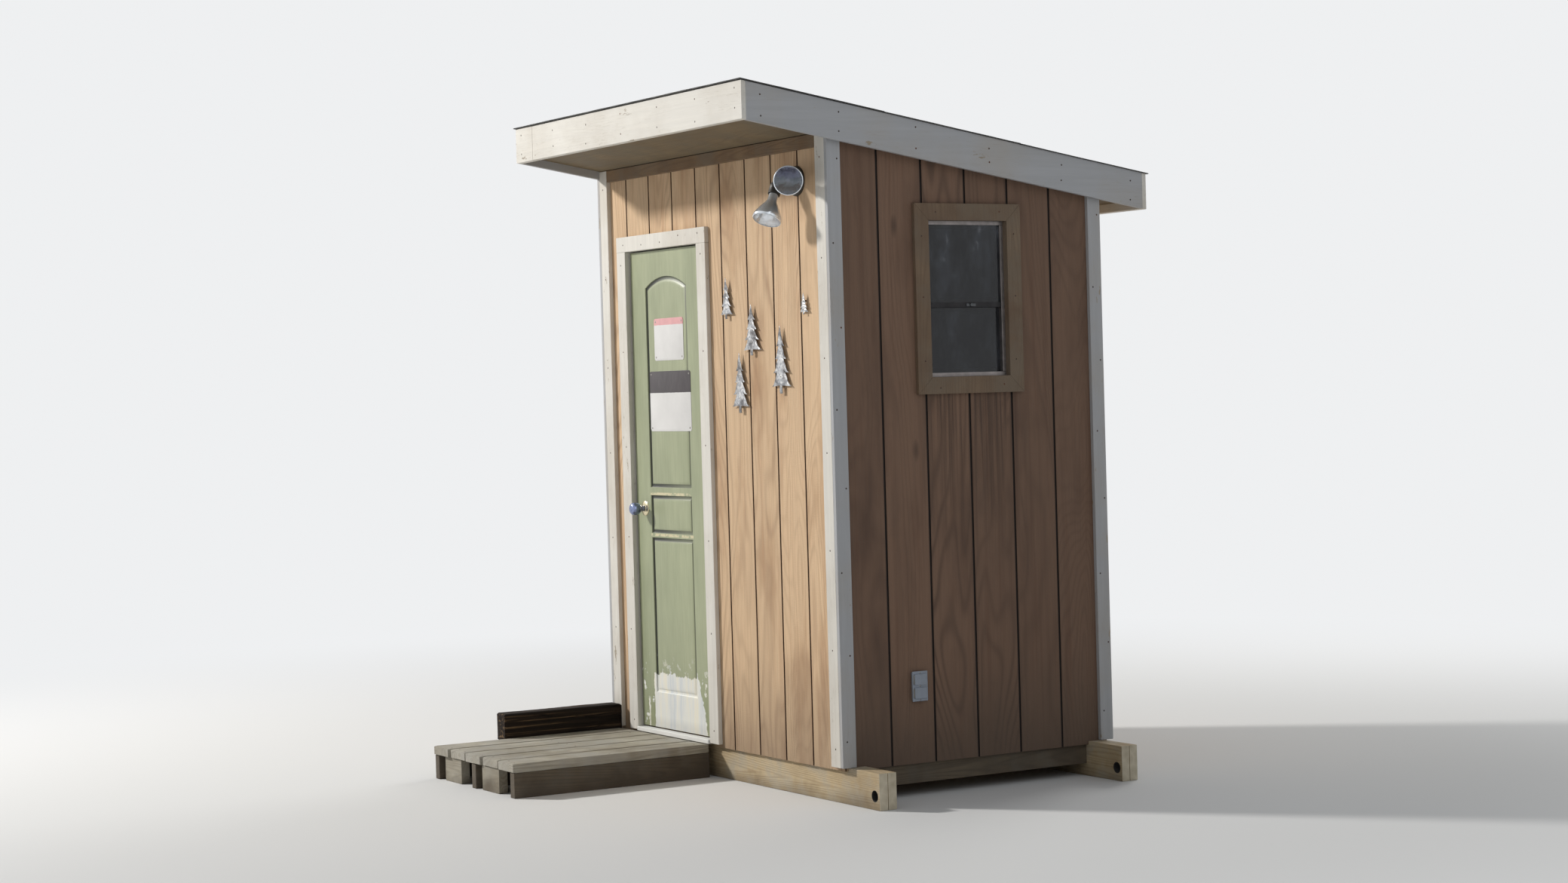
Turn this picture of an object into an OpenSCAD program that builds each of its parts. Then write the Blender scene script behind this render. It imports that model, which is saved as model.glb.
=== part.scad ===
// Small wooden outhouse on skids, with a panelled door, a side window and a plank step.
// Millimetres, +Z up, door facing -Y, window facing +X, skids standing on Z = 0.
// The origin is the middle of the footprint, on the ground.

/* [Building] */
// Width over the siding, left to right
wall_w = 1861; // [1600:1:2400]
// Depth over the siding, front to rear
wall_d = 1251; // [1100:1:1800]
// Height of the eave line above the siding's bottom edge, at the front wall
eave_h = 2398; // [2250:1:2800]
// Roof fall towards the rear, height lost per unit of depth
roof_fall = 0.168; // [0.05:0.001:0.25]
// Thickness of the grooved plywood siding
siding_t = 15.9; // [11:0.1:19]

/* [Siding grooves] */
// Distance between grooves
groove_pitch = 203.2; // [150:0.1:305]
// Width of a groove
groove_w = 9.5; // [5:0.1:14]
// Depth of a groove
groove_dp = 6; // [3:0.1:8]
// First groove on the front wall, measured from the right corner
groove_front = 227; // [80:1:300]
// First groove on the side walls, measured from the front corner
groove_side = 216; // [80:1:300]

/* [Skids and floor] */
// Height of a skid
skid_h = 140; // [120:1:200]
// Thickness of a skid
skid_t = 76; // [60:1:120]
// Length of skid that sticks out past each side wall
skid_out = 215; // [120:1:400]
// Radius of the tow hole near each skid end
tow_r = 20; // [12:0.5:24]
// Distance from a skid end to its tow hole's centre
tow_in = 34; // [32:1:60]
// Height of the tow hole's centre above the ground
tow_z = 52; // [40:1:80]
// Depth of the open joint between a skid's two planks
joint_dp = 4; // [1:0.5:8]
// Length of siding that laps down over the floor frame
siding_lap = 12; // [8:1:24]
// Thickness of the floor panel
floor_t = 16; // [12:1:22]

/* [Framing] */
// Depth of studs, joists and rafters
lumber_h = 89; // [64:1:100]
// Thickness of studs, joists and rafters
lumber_t = 38; // [30:1:45]
// Distance from the right siding face to the front wall's middle stud
stud_in = 520; // [120:1:840]

/* [Trim boards] */
// Thickness of corner boards, casings and fascias
trim_t = 19; // [12:1:25]
// Width of the corner boards on the front and rear faces
corner_f = 68; // [50:1:120]
// Width of the corner boards on the side faces, over their edges
corner_s = 61; // [50:1:120]
// Gap between the skids' top and the bottom of the corner boards and casings
corner_up = 2; // [0:0.5:30]
// Height of the frieze board under the soffit
frieze_h = 50; // [30:1:90]

/* [Roof] */
// Overhang of the front fascia past the front siding
over_front = 405; // [200:1:600]
// Overhang of the rear fascia past the rear siding
over_rear = 229; // [100:1:400]
// Overhang of the right fascia past the right siding
over_right = 55; // [45:1:150]
// Height of the fascia boards, measured plumb
fascia_h = 145; // [140:1:200]
// Length of the short fascia piece at the front left end
fascia_short = 160; // [80:1:400]
// Height of the soffit panels above the fascia's bottom edge
soffit_up = 34; // [28:1:40]
// Thickness of the roof covering at the high edge
roofing_t = 6; // [3:0.5:12]
// Number of lapped courses of the roof covering
courses = 3; // [2:1:5]
// Distance the roof covering sticks out past the fascias
roofing_out = 10; // [0:1:25]

/* [Door] */
// Distance from the right siding face to the doorway
door_in = 1015; // [940:1:1100]
// Width of the doorway between the jambs
door_w = 627; // [590:1:680]
// Height of the doorway's head above the siding's bottom edge
door_head = 2071; // [1950:1:2120]
// Gap between the door leaf and the jambs
door_gap = 8; // [7:0.5:9]
// Thickness of the door leaf
leaf_t = 35; // [32:1:40]
// Distance the leaf's face sits behind the siding's face
leaf_set = 4; // [3:0.5:8]
// Height of the knob above the siding's bottom edge
knob_h = 969; // [850:1:1100]
// Distance from the leaf's free edge to the knob
knob_set = 72; // [60:1:90]
// Width of the side casings
casing_w = 76; // [60:1:95]
// Height of the head casing
head_w = 65; // [50:1:95]
// Height of each hinge
hinge_h = 89; // [76:1:102]
// Height of the lowest hinge's middle above the leaf's bottom
hinge_low = 230; // [120:1:400]
// Distance from the highest hinge's middle to the leaf's top
hinge_top = 200; // [120:1:400]
// Distance from the leaf's sides to the panels
panel_in = 126; // [100:1:150]
// Distance from the leaf's bottom to the lower panel
panel_low = 150; // [120:1:180]
// Height of the lower panel
panel_low_h = 662; // [500:1:680]
// Distance between the lower and the middle panel
rail_low = 18; // [14:1:60]
// Height of the middle panel
panel_mid_h = 162; // [120:1:180]
// Distance between the middle and the upper panel
rail_mid = 33; // [14:1:60]
// Distance from the upper panel's top to the leaf's top
rail_top = 111; // [90:1:160]
// Rise of the upper panel's arch
arch_rise = 46; // [20:1:90]
// Width of the moulding round each panel
mould_w = 30; // [20:1:36]
// Depth of the moulding's groove
mould_d = 6; // [3:0.5:10]
// Width of the cove on the moulding's outer edge
cove_w = 6; // [2:0.5:8]
// Width of the flat bottom of the groove
groove_flat = 5; // [2:0.5:8]
// Depth of a panel's raised field below the leaf's face
field_set = 0.3; // [0.1:0.1:0.8]

/* [Plates on the door] */
// Upper plate, width and height
plate_up = [254, 178]; // [120:1:360]
// Height of the upper plate's bottom above the leaf's bottom
plate_up_z = 1563; // [1530:1:1700]
// Lower plate, width and height
plate_low = [356, 254]; // [120:1:360]
// Height of the lower plate's bottom above the leaf's bottom
plate_low_z = 1264; // [1040:1:1270]
// Distance of both plates to the right of the leaf's middle
plate_off = 20; // [-60:1:60]
// Thickness of the plates
plate_t = 1.5; // [1:0.5:3]

/* [Window] */
// Width of the window between its jambs
win_w = 370; // [300:1:500]
// Height of the window between its jambs
win_h = 608; // [450:1:700]
// Distance from the front siding face to the window's centre
win_y = 624; // [560:1:700]
// Distance from the side wall's top plate down to the window
win_drop = 167; // [90:1:400]
// Width of the window casing
win_case = 66; // [50:1:90]
// Height of the meeting rail, as a share of the window's height
rail_at = 0.46; // [0.35:0.01:0.65]
// Height of the meeting rail's own bar
rail_h = 20; // [12:1:30]
// Width of the metal frame's bars
frame_w = 16; // [10:1:24]
// Thickness of the glass
glass_t = 4; // [3:0.5:6]

/* [Fittings] */
// Distance from the right siding face to the floodlight's plate
flood_in = 231; // [180:1:520]
// Distance from the eave line down to the floodlight's plate
flood_drop = 134; // [110:1:230]
// Radius of the floodlight's plate
flood_r = 58; // [48:1:64]
// Depth of the floodlight's box from the siding
flood_box = 38; // [30:1:39]
// Distance from the siding to the lamp pivots
flood_out = 64; // [63:1:80]
// Distance between the two lamp pivots
flood_gap = 80; // [70:1:96]
// Length of the lamp holders, from the pivot
holder_l = 58; // [50:1:70]
// Radius of a lamp
lamp_r = 57; // [45:1:62]
// Length of a lamp
lamp_l = 118; // [100:1:135]
// Tilt from upright and turn of the right lamp
aim_right = [95, -31]; // [-180:1:180]
// Tilt from upright and turn of the left lamp
aim_left = [153, -67]; // [-180:1:180]
// Distance from the front siding face to the outlet box's centre
outlet_y = 344; // [280:1:420]
// Height of the outlet box's centre above the siding's bottom edge
outlet_z = 300; // [200:1:500]
// Width, height and depth of the outlet box with its lid
outlet_size = [70, 116, 24]; // [16:1:140]
// Metal trees: distance from the right siding face, height above the siding's bottom, width, height
tree_1 = [788, 1752, 97, 167]; // [50:1:2000]
// Second tree
tree_2 = [592, 1600, 137, 204]; // [50:1:2000]
// Third tree
tree_3 = [372, 1445, 143, 267]; // [50:1:2000]
// Fourth tree
tree_4 = [695, 1372, 136, 242]; // [50:1:2000]
// Fifth tree
tree_5 = [188, 1748, 65, 84]; // [50:1:2000]
// Distance from the siding to the back of the trees
tree_off = 12; // [3:0.5:18]

/* [Deck and side timbers] */
// Length of the deck boards
deck_l = 892; // [700:1:1200]
// Width of one deck board
deck_bw = 144; // [120:1:160]
// Gap between deck boards
deck_bg = 12; // [2:0.5:16]
// Thickness of the deck boards
deck_t = 38; // [25:1:45]
// Distance from the skids' top down to the deck's top
deck_drop = 2; // [2:1:40]
// Width of the blocks between the joists
block_w = 160; // [90:1:200]
// Distance from the left joist to the first block
block_in = 45; // [20:1:80]
// Distance from the left siding face to the deck's left edge
deck_in = 74; // [20:1:200]
// Length of the side timbers
timber_l = 560; // [400:1:800]
// Height of both side timbers together
timber_h = 243; // [160:1:300]
// Thickness of the side timbers
timber_t = 90; // [70:1:120]

/* [Hidden] */
$fn = 48;
e = 0.5;
seam = 0.15;
lid_in = 3;
groove_end = 40;
stop_gap = 5.5;
stop_w = 12;
stop_d = 30;
sill_out = 26;
sill_t = 18;
pin_r = 2.4;
knuckle_r = 4.5;
plate_gap = 2.2;
leaf_plate = 33;
knob_r = 27;
knob_out = 46;
neck_r = 12;
neck_l = 26;
spindle_r = 6;
rose_r = 32;
rose_t = 8;
neck_up = 4;
bore_gap = 0.05;
boss_r = 17;
lid_t = 4;
flap_side = 8;
flap_gap = 10;
ball_r = 19;
socket_r = 24;
socket_up = 8;
stem_r = 11;
peg_r = 3;
joist_set = 6;
block_set = 14;
frame_back = 34;
frame_front = 8;
pane_up = 20;
pane_low = 30;
deck_reach = trim_t + 2 + deck_l;
y_min = -(deck_reach + wall_d + over_rear + roofing_out) / 2;
y_f = y_min + deck_reach;
y_r = y_f + wall_d;
x_r = wall_w / 2;
x_l = -wall_w / 2;
skid_x = x_r + skid_out;
z_s = skid_h - siding_lap;
z_fl = skid_h + floor_t;
y_fi = y_f + siding_t;
y_ri = y_r - siding_t;
x_ri = x_r - siding_t;
x_li = x_l + siding_t;
y_fs = y_fi + lumber_h;
y_rs = y_ri - lumber_h;
cosr = 1 / sqrt(1 + roof_fall * roof_fall);
soffit_t = 9.5 / cosr;
raft_lo = soffit_up + soffit_t;
raft_h = lumber_h / cosr;
deck_lo = raft_lo + raft_h;
plate_h = lumber_t / cosr;
x_d1 = x_r - door_in;
x_d0 = x_d1 - door_w;
z_dh = z_s + door_head;
z_eave = z_s + eave_h;
function zf(y) = z_eave - roof_fall * (y - y_f);
z_trim = skid_h + corner_up;
z_db = z_fl + 7;
leaf_x1 = x_d1 - door_gap;
leaf_x0 = x_d0 + door_gap;
leaf_w = leaf_x1 - leaf_x0;
leaf_h = z_dh - 6 - z_db;
leaf_y = y_f + leaf_set;
ax_x = leaf_x1 + 2;
ax_y = leaf_y - 5;
knob_x = leaf_x0 + knob_set;
knob_z = z_s + knob_h;
w_y0 = y_f + win_y - win_w / 2;
w_y1 = w_y0 + win_w;
w_z1 = zf(w_y1) + raft_lo - plate_h - win_drop;
w_z0 = w_z1 - win_h;
w_rail = w_z0 + rail_at * win_h;
roof_x0 = x_l - trim_t;
roof_x1 = x_r + over_right;
roof_y0 = y_f - over_front;
roof_y1 = y_r + over_rear;
hinge_z = [z_db + hinge_low, z_db + leaf_h / 2, z_db + leaf_h - hinge_top];
bearer_h = skid_h - deck_drop - deck_t;
deck_y1 = y_f - trim_t - 2;
deck_x0 = x_l + deck_in;
deck_w = 5 * deck_bw + 4 * deck_bg;

// Box from two corners
module bx(x0, y0, z0, x1, y1, z1) {
    translate([x0, y0, z0]) cube([x1 - x0, y1 - y0, z1 - z0]);
}

// Side profile drawn in Y and Z, pushed along X
module yz(x0, x1) {
    translate([x0, 0, 0]) rotate([90, 0, 90]) linear_extrude(x1 - x0) children();
}

// Slab that follows the roof, between two heights above the fascia's bottom edge
module slab(x0, x1, y0, y1, lo, hi) {
    yz(x0, x1) polygon([[y0, zf(y0) + lo], [y1, zf(y1) + lo], [y1, zf(y1) + hi], [y0, zf(y0) + hi]]);
}

// Upright piece whose top follows the roof
module upright(x0, x1, y0, y1, z0, up) {
    yz(x0, x1) polygon([[y0, z0], [y1, z0], [y1, zf(y1) + up], [y0, zf(y0) + up]]);
}

// Two planks face to face on edge, with a tow hole near each end
module skid(y0) {
    ym = y0 + skid_t / 2;
    difference() {
        bx(-skid_x, y0, 0, skid_x, y0 + skid_t, skid_h);
        bx(-skid_x - 1, ym - 1, skid_h - joint_dp, skid_x + 1, ym + 1, skid_h + 1);
        for (x = [-skid_x - 1, skid_x - joint_dp]) bx(x, ym - 1, -1, x + joint_dp + 1, ym + 1, skid_h + 1);
        for (s = [-1, 1])
            translate([s * (skid_x - tow_in), y0 - 1, tow_z]) rotate([-90, 0, 0])
                cylinder(h = skid_t + 2, r = tow_r);
    }
}

module skid_front() {
    color([0.72, 0.66, 0.52]) skid(y_fi);
}

module skid_rear() {
    color([0.72, 0.66, 0.52]) skid(y_ri - skid_t);
}

// Side rims and joists on edge between the skids
module floor_joists() {
    n = 4;
    step = (x_ri - x_li - lumber_t) / n;
    color([0.7, 0.6, 0.42])
        for (i = [0 : n])
            bx(x_li + i * step, y_fi + skid_t, skid_h - lumber_h,
                x_li + i * step + lumber_t, y_ri - skid_t, skid_h);
}

module floor_panel() {
    color([0.68, 0.55, 0.38]) bx(x_li, y_fi, skid_h, x_ri, y_ri, z_fl);
}

module plates_bottom() {
    color([0.74, 0.62, 0.44]) {
        bx(x_li, y_fi, z_fl, x_d0 - trim_t - e, y_fs, z_fl + lumber_t);
        bx(x_d1 + trim_t + e, y_fi, z_fl, x_ri, y_fs, z_fl + lumber_t);
        bx(x_li, y_rs, z_fl, x_ri, y_ri, z_fl + lumber_t);
        bx(x_li, y_fs + e, z_fl, x_li + lumber_h, y_rs - e, z_fl + lumber_t);
        bx(x_ri - lumber_h, y_fs + e, z_fl, x_ri, y_rs - e, z_fl + lumber_t);
    }
}

module plates_top() {
    color([0.74, 0.62, 0.44]) {
        slab(x_li, x_ri, y_fi, y_fs, raft_lo - plate_h, raft_lo - seam);
        slab(x_li, x_ri, y_rs, y_ri, raft_lo - plate_h, raft_lo - seam);
        slab(x_li, x_li + lumber_h, y_fs + e, y_rs - e, raft_lo - plate_h, raft_lo - seam);
        slab(x_ri - lumber_h, x_ri, y_fs + e, y_rs - e, raft_lo - plate_h, raft_lo - seam);
    }
}

// One stud of the front or rear wall, standing on the bottom plate
module stud_fr(x, y0) {
    upright(x, x + lumber_t, y0, y0 + lumber_h, z_fl + lumber_t, raft_lo - plate_h - seam);
}

module studs_front_rear() {
    color([0.78, 0.66, 0.47]) {
        for (x = [x_li, x_d0 - trim_t - lumber_t - e, x_d1 + trim_t + e, x_r - stud_in, x_ri - lumber_t])
            stud_fr(x, y_fi);
        for (i = [0 : 4]) stud_fr(x_li + i * (x_ri - x_li - lumber_t) / 4, y_rs);
    }
}

// One stud of a side wall, turned with its edge to the room
module stud_sd(x, y) {
    upright(x, x + lumber_h, y, y + lumber_t, z_fl + lumber_t, raft_lo - plate_h - seam);
}

module studs_sides() {
    color([0.78, 0.66, 0.47]) {
        for (y = [y_fs + e, w_y0 - trim_t - lumber_t - e, w_y1 + trim_t + e, y_rs - e - lumber_t])
            stud_sd(x_ri - lumber_h, y);
        for (y = [y_fs + e, (y_fs + y_rs - lumber_t) / 2, y_rs - e - lumber_t]) stud_sd(x_li, y);
    }
}

// Header over the door, header over the window and sill under it
module opening_framing() {
    color([0.76, 0.63, 0.45]) {
        bx(x_d0 - trim_t, y_fi, z_dh + trim_t + e, x_d1 + trim_t, y_fs, z_dh + trim_t + e + lumber_h);
        bx(x_ri - lumber_h, w_y0 - trim_t, w_z1 + trim_t + e,
            x_ri, w_y1 + trim_t, w_z1 + trim_t + e + lumber_t);
        bx(x_ri - lumber_h, w_y0 - trim_t, w_z0 - trim_t - e - lumber_t,
            x_ri, w_y1 + trim_t, w_z0 - trim_t - e);
    }
}

// Grooves of the front wall and, turned round, of the rear wall
module grooves_front(y, z1) {
    for (i = [0 : floor((wall_w - groove_front - 1) / groove_pitch)])
        bx(x_r - groove_front - i * groove_pitch - groove_w / 2, y - groove_dp, z_s - 1,
            x_r - groove_front - i * groove_pitch + groove_w / 2, y + groove_dp, z1);
}

module siding_front() {
    top = zf(y_fi) + raft_lo;
    rx0 = x_d0 - trim_t;
    rx1 = x_d1 + trim_t;
    color([0.8, 0.65, 0.47])
        difference() {
            union() {
                bx(x_l, y_f, z_s, rx0, y_fi, top);
                bx(rx1, y_f, z_s, x_r, y_fi, top);
                bx(rx0 + e, y_f, z_dh + trim_t, rx1 - e, y_fi, top);
            }
            grooves_front(y_f, top + 1);
        }
}

module siding_rear() {
    top = zf(y_r) + raft_lo;
    color([0.8, 0.65, 0.47])
        difference() {
            bx(x_l, y_ri, z_s, x_r, y_r, top);
            grooves_front(y_r, top + 1);
        }
}

// Side wall sheet with its grooves, notched round the skids
module side_sheet(x0, face) {
    difference() {
        upright(x0, x0 + siding_t, y_fi, y_ri, z_s, deck_lo - seam);
        bx(x0 - 1, y_fi - 1, z_s - 1, x0 + siding_t + 1, y_fi + skid_t, skid_h);
        bx(x0 - 1, y_ri - skid_t, z_s - 1, x0 + siding_t + 1, y_ri + 1, skid_h);
        for (i = [0 : floor((wall_d - groove_side - groove_end) / groove_pitch)])
            bx(face - groove_dp, y_f + groove_side + i * groove_pitch - groove_w / 2, z_s - 1,
                face + groove_dp, y_f + groove_side + i * groove_pitch + groove_w / 2, zf(y_f) + deck_lo);
    }
}

module siding_right() {
    color([0.42, 0.31, 0.22])
        difference() {
            side_sheet(x_ri, x_r);
            bx(x_ri - 1, w_y0 - trim_t, w_z0 - trim_t, x_r + 1, w_y1 + trim_t, w_z1 + trim_t);
        }
}

module siding_left() {
    color([0.8, 0.65, 0.47]) side_sheet(x_l, x_l);
}

// Boards on the front and rear faces at each corner
module corner_boards() {
    color([0.86, 0.84, 0.78]) {
        for (x = [x_l, x_r - corner_f]) {
            bx(x, y_f - trim_t, z_trim, x + corner_f, y_f, zf(y_f) + soffit_up - seam);
            bx(x, y_r, z_trim, x + corner_f, y_r + trim_t, zf(y_r + trim_t) + soffit_up - seam);
        }
    }
}

// Boards on the side faces at each corner, covering the edges of the others
module corner_returns() {
    color([0.84, 0.83, 0.78]) {
        for (x = [x_l - trim_t, x_r]) {
            up = (x < 0 ? 0 : soffit_up) - seam;
            upright(x, x + trim_t, y_f - trim_t, y_f - trim_t + corner_s, z_trim, up);
            upright(x, x + trim_t, y_r + trim_t - corner_s, y_r + trim_t, z_trim, up);
        }
    }
}

module frieze_boards() {
    front = zf(y_f) + soffit_up - seam;
    rear = zf(y_r + trim_t) + soffit_up - seam;
    color([0.62, 0.48, 0.32]) {
        bx(x_l + corner_f + 1, y_f - trim_t, front - frieze_h, x_r - corner_f - 1, y_f, front);
        bx(x_l + corner_f + 1, y_r, rear - frieze_h, x_r - corner_f - 1, y_r + trim_t, rear);
    }
}

// Rafters on edge, with one more outside the right wall
module rafters() {
    n = 4;
    step = (x_ri - x_li - lumber_t) / n;
    color([0.76, 0.64, 0.46]) {
        for (i = [0 : n])
            slab(x_li + i * step, x_li + i * step + lumber_t, roof_y0 + trim_t, roof_y1 - trim_t,
                raft_lo, deck_lo - seam);
        slab(x_r, roof_x1 - trim_t, roof_y0 + trim_t, roof_y1 - trim_t, raft_lo, deck_lo - seam);
    }
}

module roof_panel() {
    color([0.7, 0.57, 0.4])
        slab(x_l, roof_x1 - trim_t, roof_y0 + trim_t, roof_y1 - trim_t, deck_lo, fascia_h);
}

// Courses that each tuck under the next one up the slope
module roofing() {
    y0 = roof_y0 - roofing_out;
    y1 = roof_y1 + roofing_out;
    lap = roofing_t / (courses + 2);
    color([0.16, 0.16, 0.17])
        for (i = [1 : courses])
            slab(roof_x0 - roofing_out, roof_x1 + roofing_out, y0, y0 + i * (y1 - y0) / courses,
                fascia_h + seam, fascia_h + roofing_t - (i - 1) * lap);
}

// Fascia boards across the front and the rear
module fascia_eaves() {
    color([0.86, 0.84, 0.78]) {
        slab(roof_x0, roof_x0 + fascia_short - 1, roof_y0, roof_y0 + trim_t, 0, fascia_h);
        slab(roof_x0 + fascia_short + 1, roof_x1, roof_y0, roof_y0 + trim_t, 0, fascia_h);
        slab(roof_x0, roof_x1, roof_y1 - trim_t, roof_y1, 0, fascia_h);
    }
}

// Sloping fascia boards along the sides
module fascia_rakes() {
    color([0.84, 0.83, 0.78]) {
        slab(roof_x0, x_l, roof_y0 + trim_t, roof_y1 - trim_t, 0, fascia_h);
        slab(roof_x1 - trim_t, roof_x1, roof_y0 + trim_t, roof_y1 - trim_t, 0, fascia_h);
    }
}

module soffits() {
    color([0.74, 0.6, 0.42]) {
        slab(x_l, roof_x1 - trim_t, roof_y0 + trim_t, y_f, soffit_up, raft_lo - seam);
        slab(x_l, roof_x1 - trim_t, y_r, roof_y1 - trim_t, soffit_up, raft_lo - seam);
    }
}

// Jamb boards at both sides and over the doorway
module door_jamb() {
    color([0.84, 0.84, 0.8]) {
        bx(x_d0 - trim_t, y_f, z_fl, x_d0, y_fs, z_dh + trim_t);
        bx(x_d1, y_f, z_fl, x_d1 + trim_t, y_fs, z_dh + trim_t);
        bx(x_d0 + e, y_f, z_dh, x_d1 - e, y_fs, z_dh + trim_t);
    }
}

// Strips that the closed leaf nearly rests on
module door_stop() {
    y = leaf_y + leaf_t + stop_gap;
    color([0.84, 0.84, 0.8]) {
        bx(x_d0, y, z_fl, x_d0 + stop_w, y + stop_d, z_dh);
        bx(x_d1 - stop_w, y, z_fl, x_d1, y + stop_d, z_dh);
        bx(x_d0 + stop_w + e, y, z_dh - stop_w, x_d1 - stop_w - e, y + stop_d, z_dh);
    }
}

module door_casing() {
    color([0.86, 0.85, 0.79]) {
        bx(x_d0 - casing_w, y_f - trim_t, z_trim, x_d0, y_f, z_dh - e);
        bx(x_d1, y_f - trim_t, z_trim, x_d1 + casing_w, y_f, z_dh - e);
        bx(x_d0 - casing_w, y_f - trim_t, z_dh, x_d1 + casing_w, y_f, z_dh + head_w);
    }
}

module threshold() {
    color([0.9, 0.9, 0.88]) bx(x_d0 + 1, y_f - sill_out, z_fl - sill_t, x_d1 - 1, y_fi, z_fl);
}

// Solid on a panel's outline whose edge all round follows a profile of [inset, height];
// rise is the arch's height, or 0 for a straight top
module edged(w, h, rise, profile) {
    n = len(profile) - 1;
    low = profile[0][1];
    high = profile[n][1];
    r = rise > 0 ? (w * w / 4 + rise * rise) / (2 * rise) : 0;
    far_side = rise > 0 ? [[h, high], [h, low]] : [for (i = [n : -1 : 0]) [h - profile[i][0], profile[i][1]]];
    intersection() {
        translate([0, h, 0]) rotate([90, 0, 0]) linear_extrude(h)
            polygon(concat(profile, [for (i = [n : -1 : 0]) [w - profile[i][0], profile[i][1]]]));
        yz(0, w) polygon(concat(profile, far_side));
        if (rise > 0)
            union() {
                bx(0, 0, low, w, h - r, high);
                translate([w / 2, h - r, 0]) rotate_extrude($fn = 360)
                    polygon(concat([[0, low]], [for (p = profile) [r - p[0], p[1]]], [[0, high]]));
            }
    }
}

// Recess of one moulded panel: a cove, a flat groove and the raised field left standing in it
module recess(w, h, rise) {
    foot = cove_w + groove_flat;
    slope = mould_w - foot;
    up = mould_d - field_set;
    difference() {
        edged(w, h, rise, [[cove_w, 0], [cove_w * 0.5, mould_d * 0.12], [cove_w * 0.2, mould_d * 0.45],
            [cove_w * 0.12, mould_d * 0.8], [0, mould_d * 0.85], [0, mould_d + 1]]);
        edged(w, h, rise, [[foot, -1], [foot, 0], [foot + slope * 0.2, up * 0.35],
            [foot + slope * 0.55, up * 0.8], [mould_w, up]]);
    }
}

// Recesses of all three panels, seen from the side that their face turns to
module recesses() {
    pw = leaf_w - 2 * panel_in;
    mid = panel_low + panel_low_h + rail_low;
    up = mid + panel_mid_h + rail_mid;
    for (p = [[panel_low, panel_low_h, 0], [mid, panel_mid_h, 0], [up, leaf_h - rail_top - up, arch_rise]])
        translate([leaf_x0 + panel_in, mould_d, z_db + p[0]]) rotate([90, 0, 0]) recess(pw, p[1], p[2]);
}

// Leaf moulded on both faces, with a bore for the knob
module door_leaf() {
    color([0.66, 0.7, 0.54])
        difference() {
            bx(leaf_x0, leaf_y, z_db, leaf_x1, leaf_y + leaf_t, z_db + leaf_h);
            translate([0, leaf_y, 0]) recesses();
            translate([0, leaf_y + leaf_t, 0]) mirror([0, 1, 0]) recesses();
            translate([knob_x, leaf_y - 1, knob_z]) rotate([-90, 0, 0]) cylinder(h = leaf_t + 2, r = 26);
        }
}

// Jamb plates with pins and the outer knuckles
module hinge_frames() {
    k = hinge_h / 3;
    color([0.55, 0.55, 0.53])
        for (z = hinge_z) translate([0, 0, z - hinge_h / 2]) {
            translate([ax_x, ax_y, 0]) cylinder(h = hinge_h, r = pin_r);
            for (s = [0, 2 * k + 0.3]) {
                translate([ax_x, ax_y, s]) cylinder(h = k - 0.3, r = knuckle_r);
                bx(ax_x, ax_y + 2, s, x_d1, ax_y + knuckle_r, s + k - 0.3);
                bx(x_d1 - plate_gap, ax_y + 2, s, x_d1, ax_y + 6, s + k - 0.3);
            }
            bx(x_d1 - plate_gap, ax_y + 5.2, 0, x_d1, ax_y + leaf_plate, hinge_h);
        }
}

// Leaf plates with the middle knuckle
module hinge_leaves() {
    k = hinge_h / 3;
    color([0.55, 0.55, 0.53])
        for (z = hinge_z) translate([0, 0, z - hinge_h / 2])
            difference() {
                union() {
                    translate([ax_x, ax_y, k + 0.3]) cylinder(h = k - 0.6, r = knuckle_r);
                    bx(leaf_x1, ax_y + 2.6, k + 0.3, leaf_x1 + plate_gap, ax_y + 6, 2 * k - 0.3);
                    bx(leaf_x1, ax_y + 5.2, 0, leaf_x1 + plate_gap, ax_y + leaf_plate, hinge_h);
                }
                translate([ax_x, ax_y, -1]) cylinder(h = hinge_h + 2, r = pin_r + 0.05);
            }
}

// Places a turned piece on both faces of the leaf, its +Z pointing out of the face
module on_both_faces() {
    translate([knob_x, leaf_y, knob_z]) rotate([90, 0, 0]) children();
    translate([knob_x, leaf_y + leaf_t, knob_z]) rotate([-90, 0, 0]) children();
}

// Stepped round plates
module knob_roses() {
    half = [[0, 0], [1, 0], [1, 0.25], [0.94, 0.4], [0.82, 0.5], [0.72, 0.7], [0.52, 0.78], [0.47, 1],
        [0, 1]];
    color([0.8, 0.76, 0.62])
        on_both_faces() difference() {
            rotate_extrude() polygon([for (p = half) [p[0] * rose_r, p[1] * rose_t]]);
            translate([0, 0, -1]) cylinder(h = rose_t + 2, r = neck_r + bore_gap);
        }
}

// Spindle with a turned knob at each end, flat-topped and drawn in to its neck
module door_knob() {
    reach = knob_out + knob_r;
    long = reach - neck_up;
    half = [[0, 0], [0.37, 0.009], [0.39, 0.023], [0.56, 0.028], [0.76, 0.065], [0.93, 0.145], [1, 0.29],
        [0.97, 0.42], [0.87, 0.53], [0.7, 0.63], [0.56, 0.69]];
    color([0.2, 0.24, 0.36]) {
        on_both_faces() rotate_extrude()
            polygon(concat([for (p = half) [p[0] * knob_r, reach - p[1] * long]],
                [[neck_r, reach - 0.76 * long], [neck_r, neck_up], [0, neck_up]]));
        translate([knob_x, leaf_y - neck_l, knob_z]) rotate([-90, 0, 0])
            cylinder(h = leaf_t + 2 * neck_l, r = spindle_r);
    }
}

// Two thin plates fixed to the leaf
module door_signs() {
    xm = leaf_x0 + leaf_w / 2 + plate_off;
    color([0.93, 0.93, 0.92])
        for (p = [[plate_up, plate_up_z], [plate_low, plate_low_z]])
            bx(xm - p[0][0] / 2, leaf_y - plate_t, z_db + p[1],
                xm + p[0][0] / 2, leaf_y, z_db + p[1] + p[0][1]);
}

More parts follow.
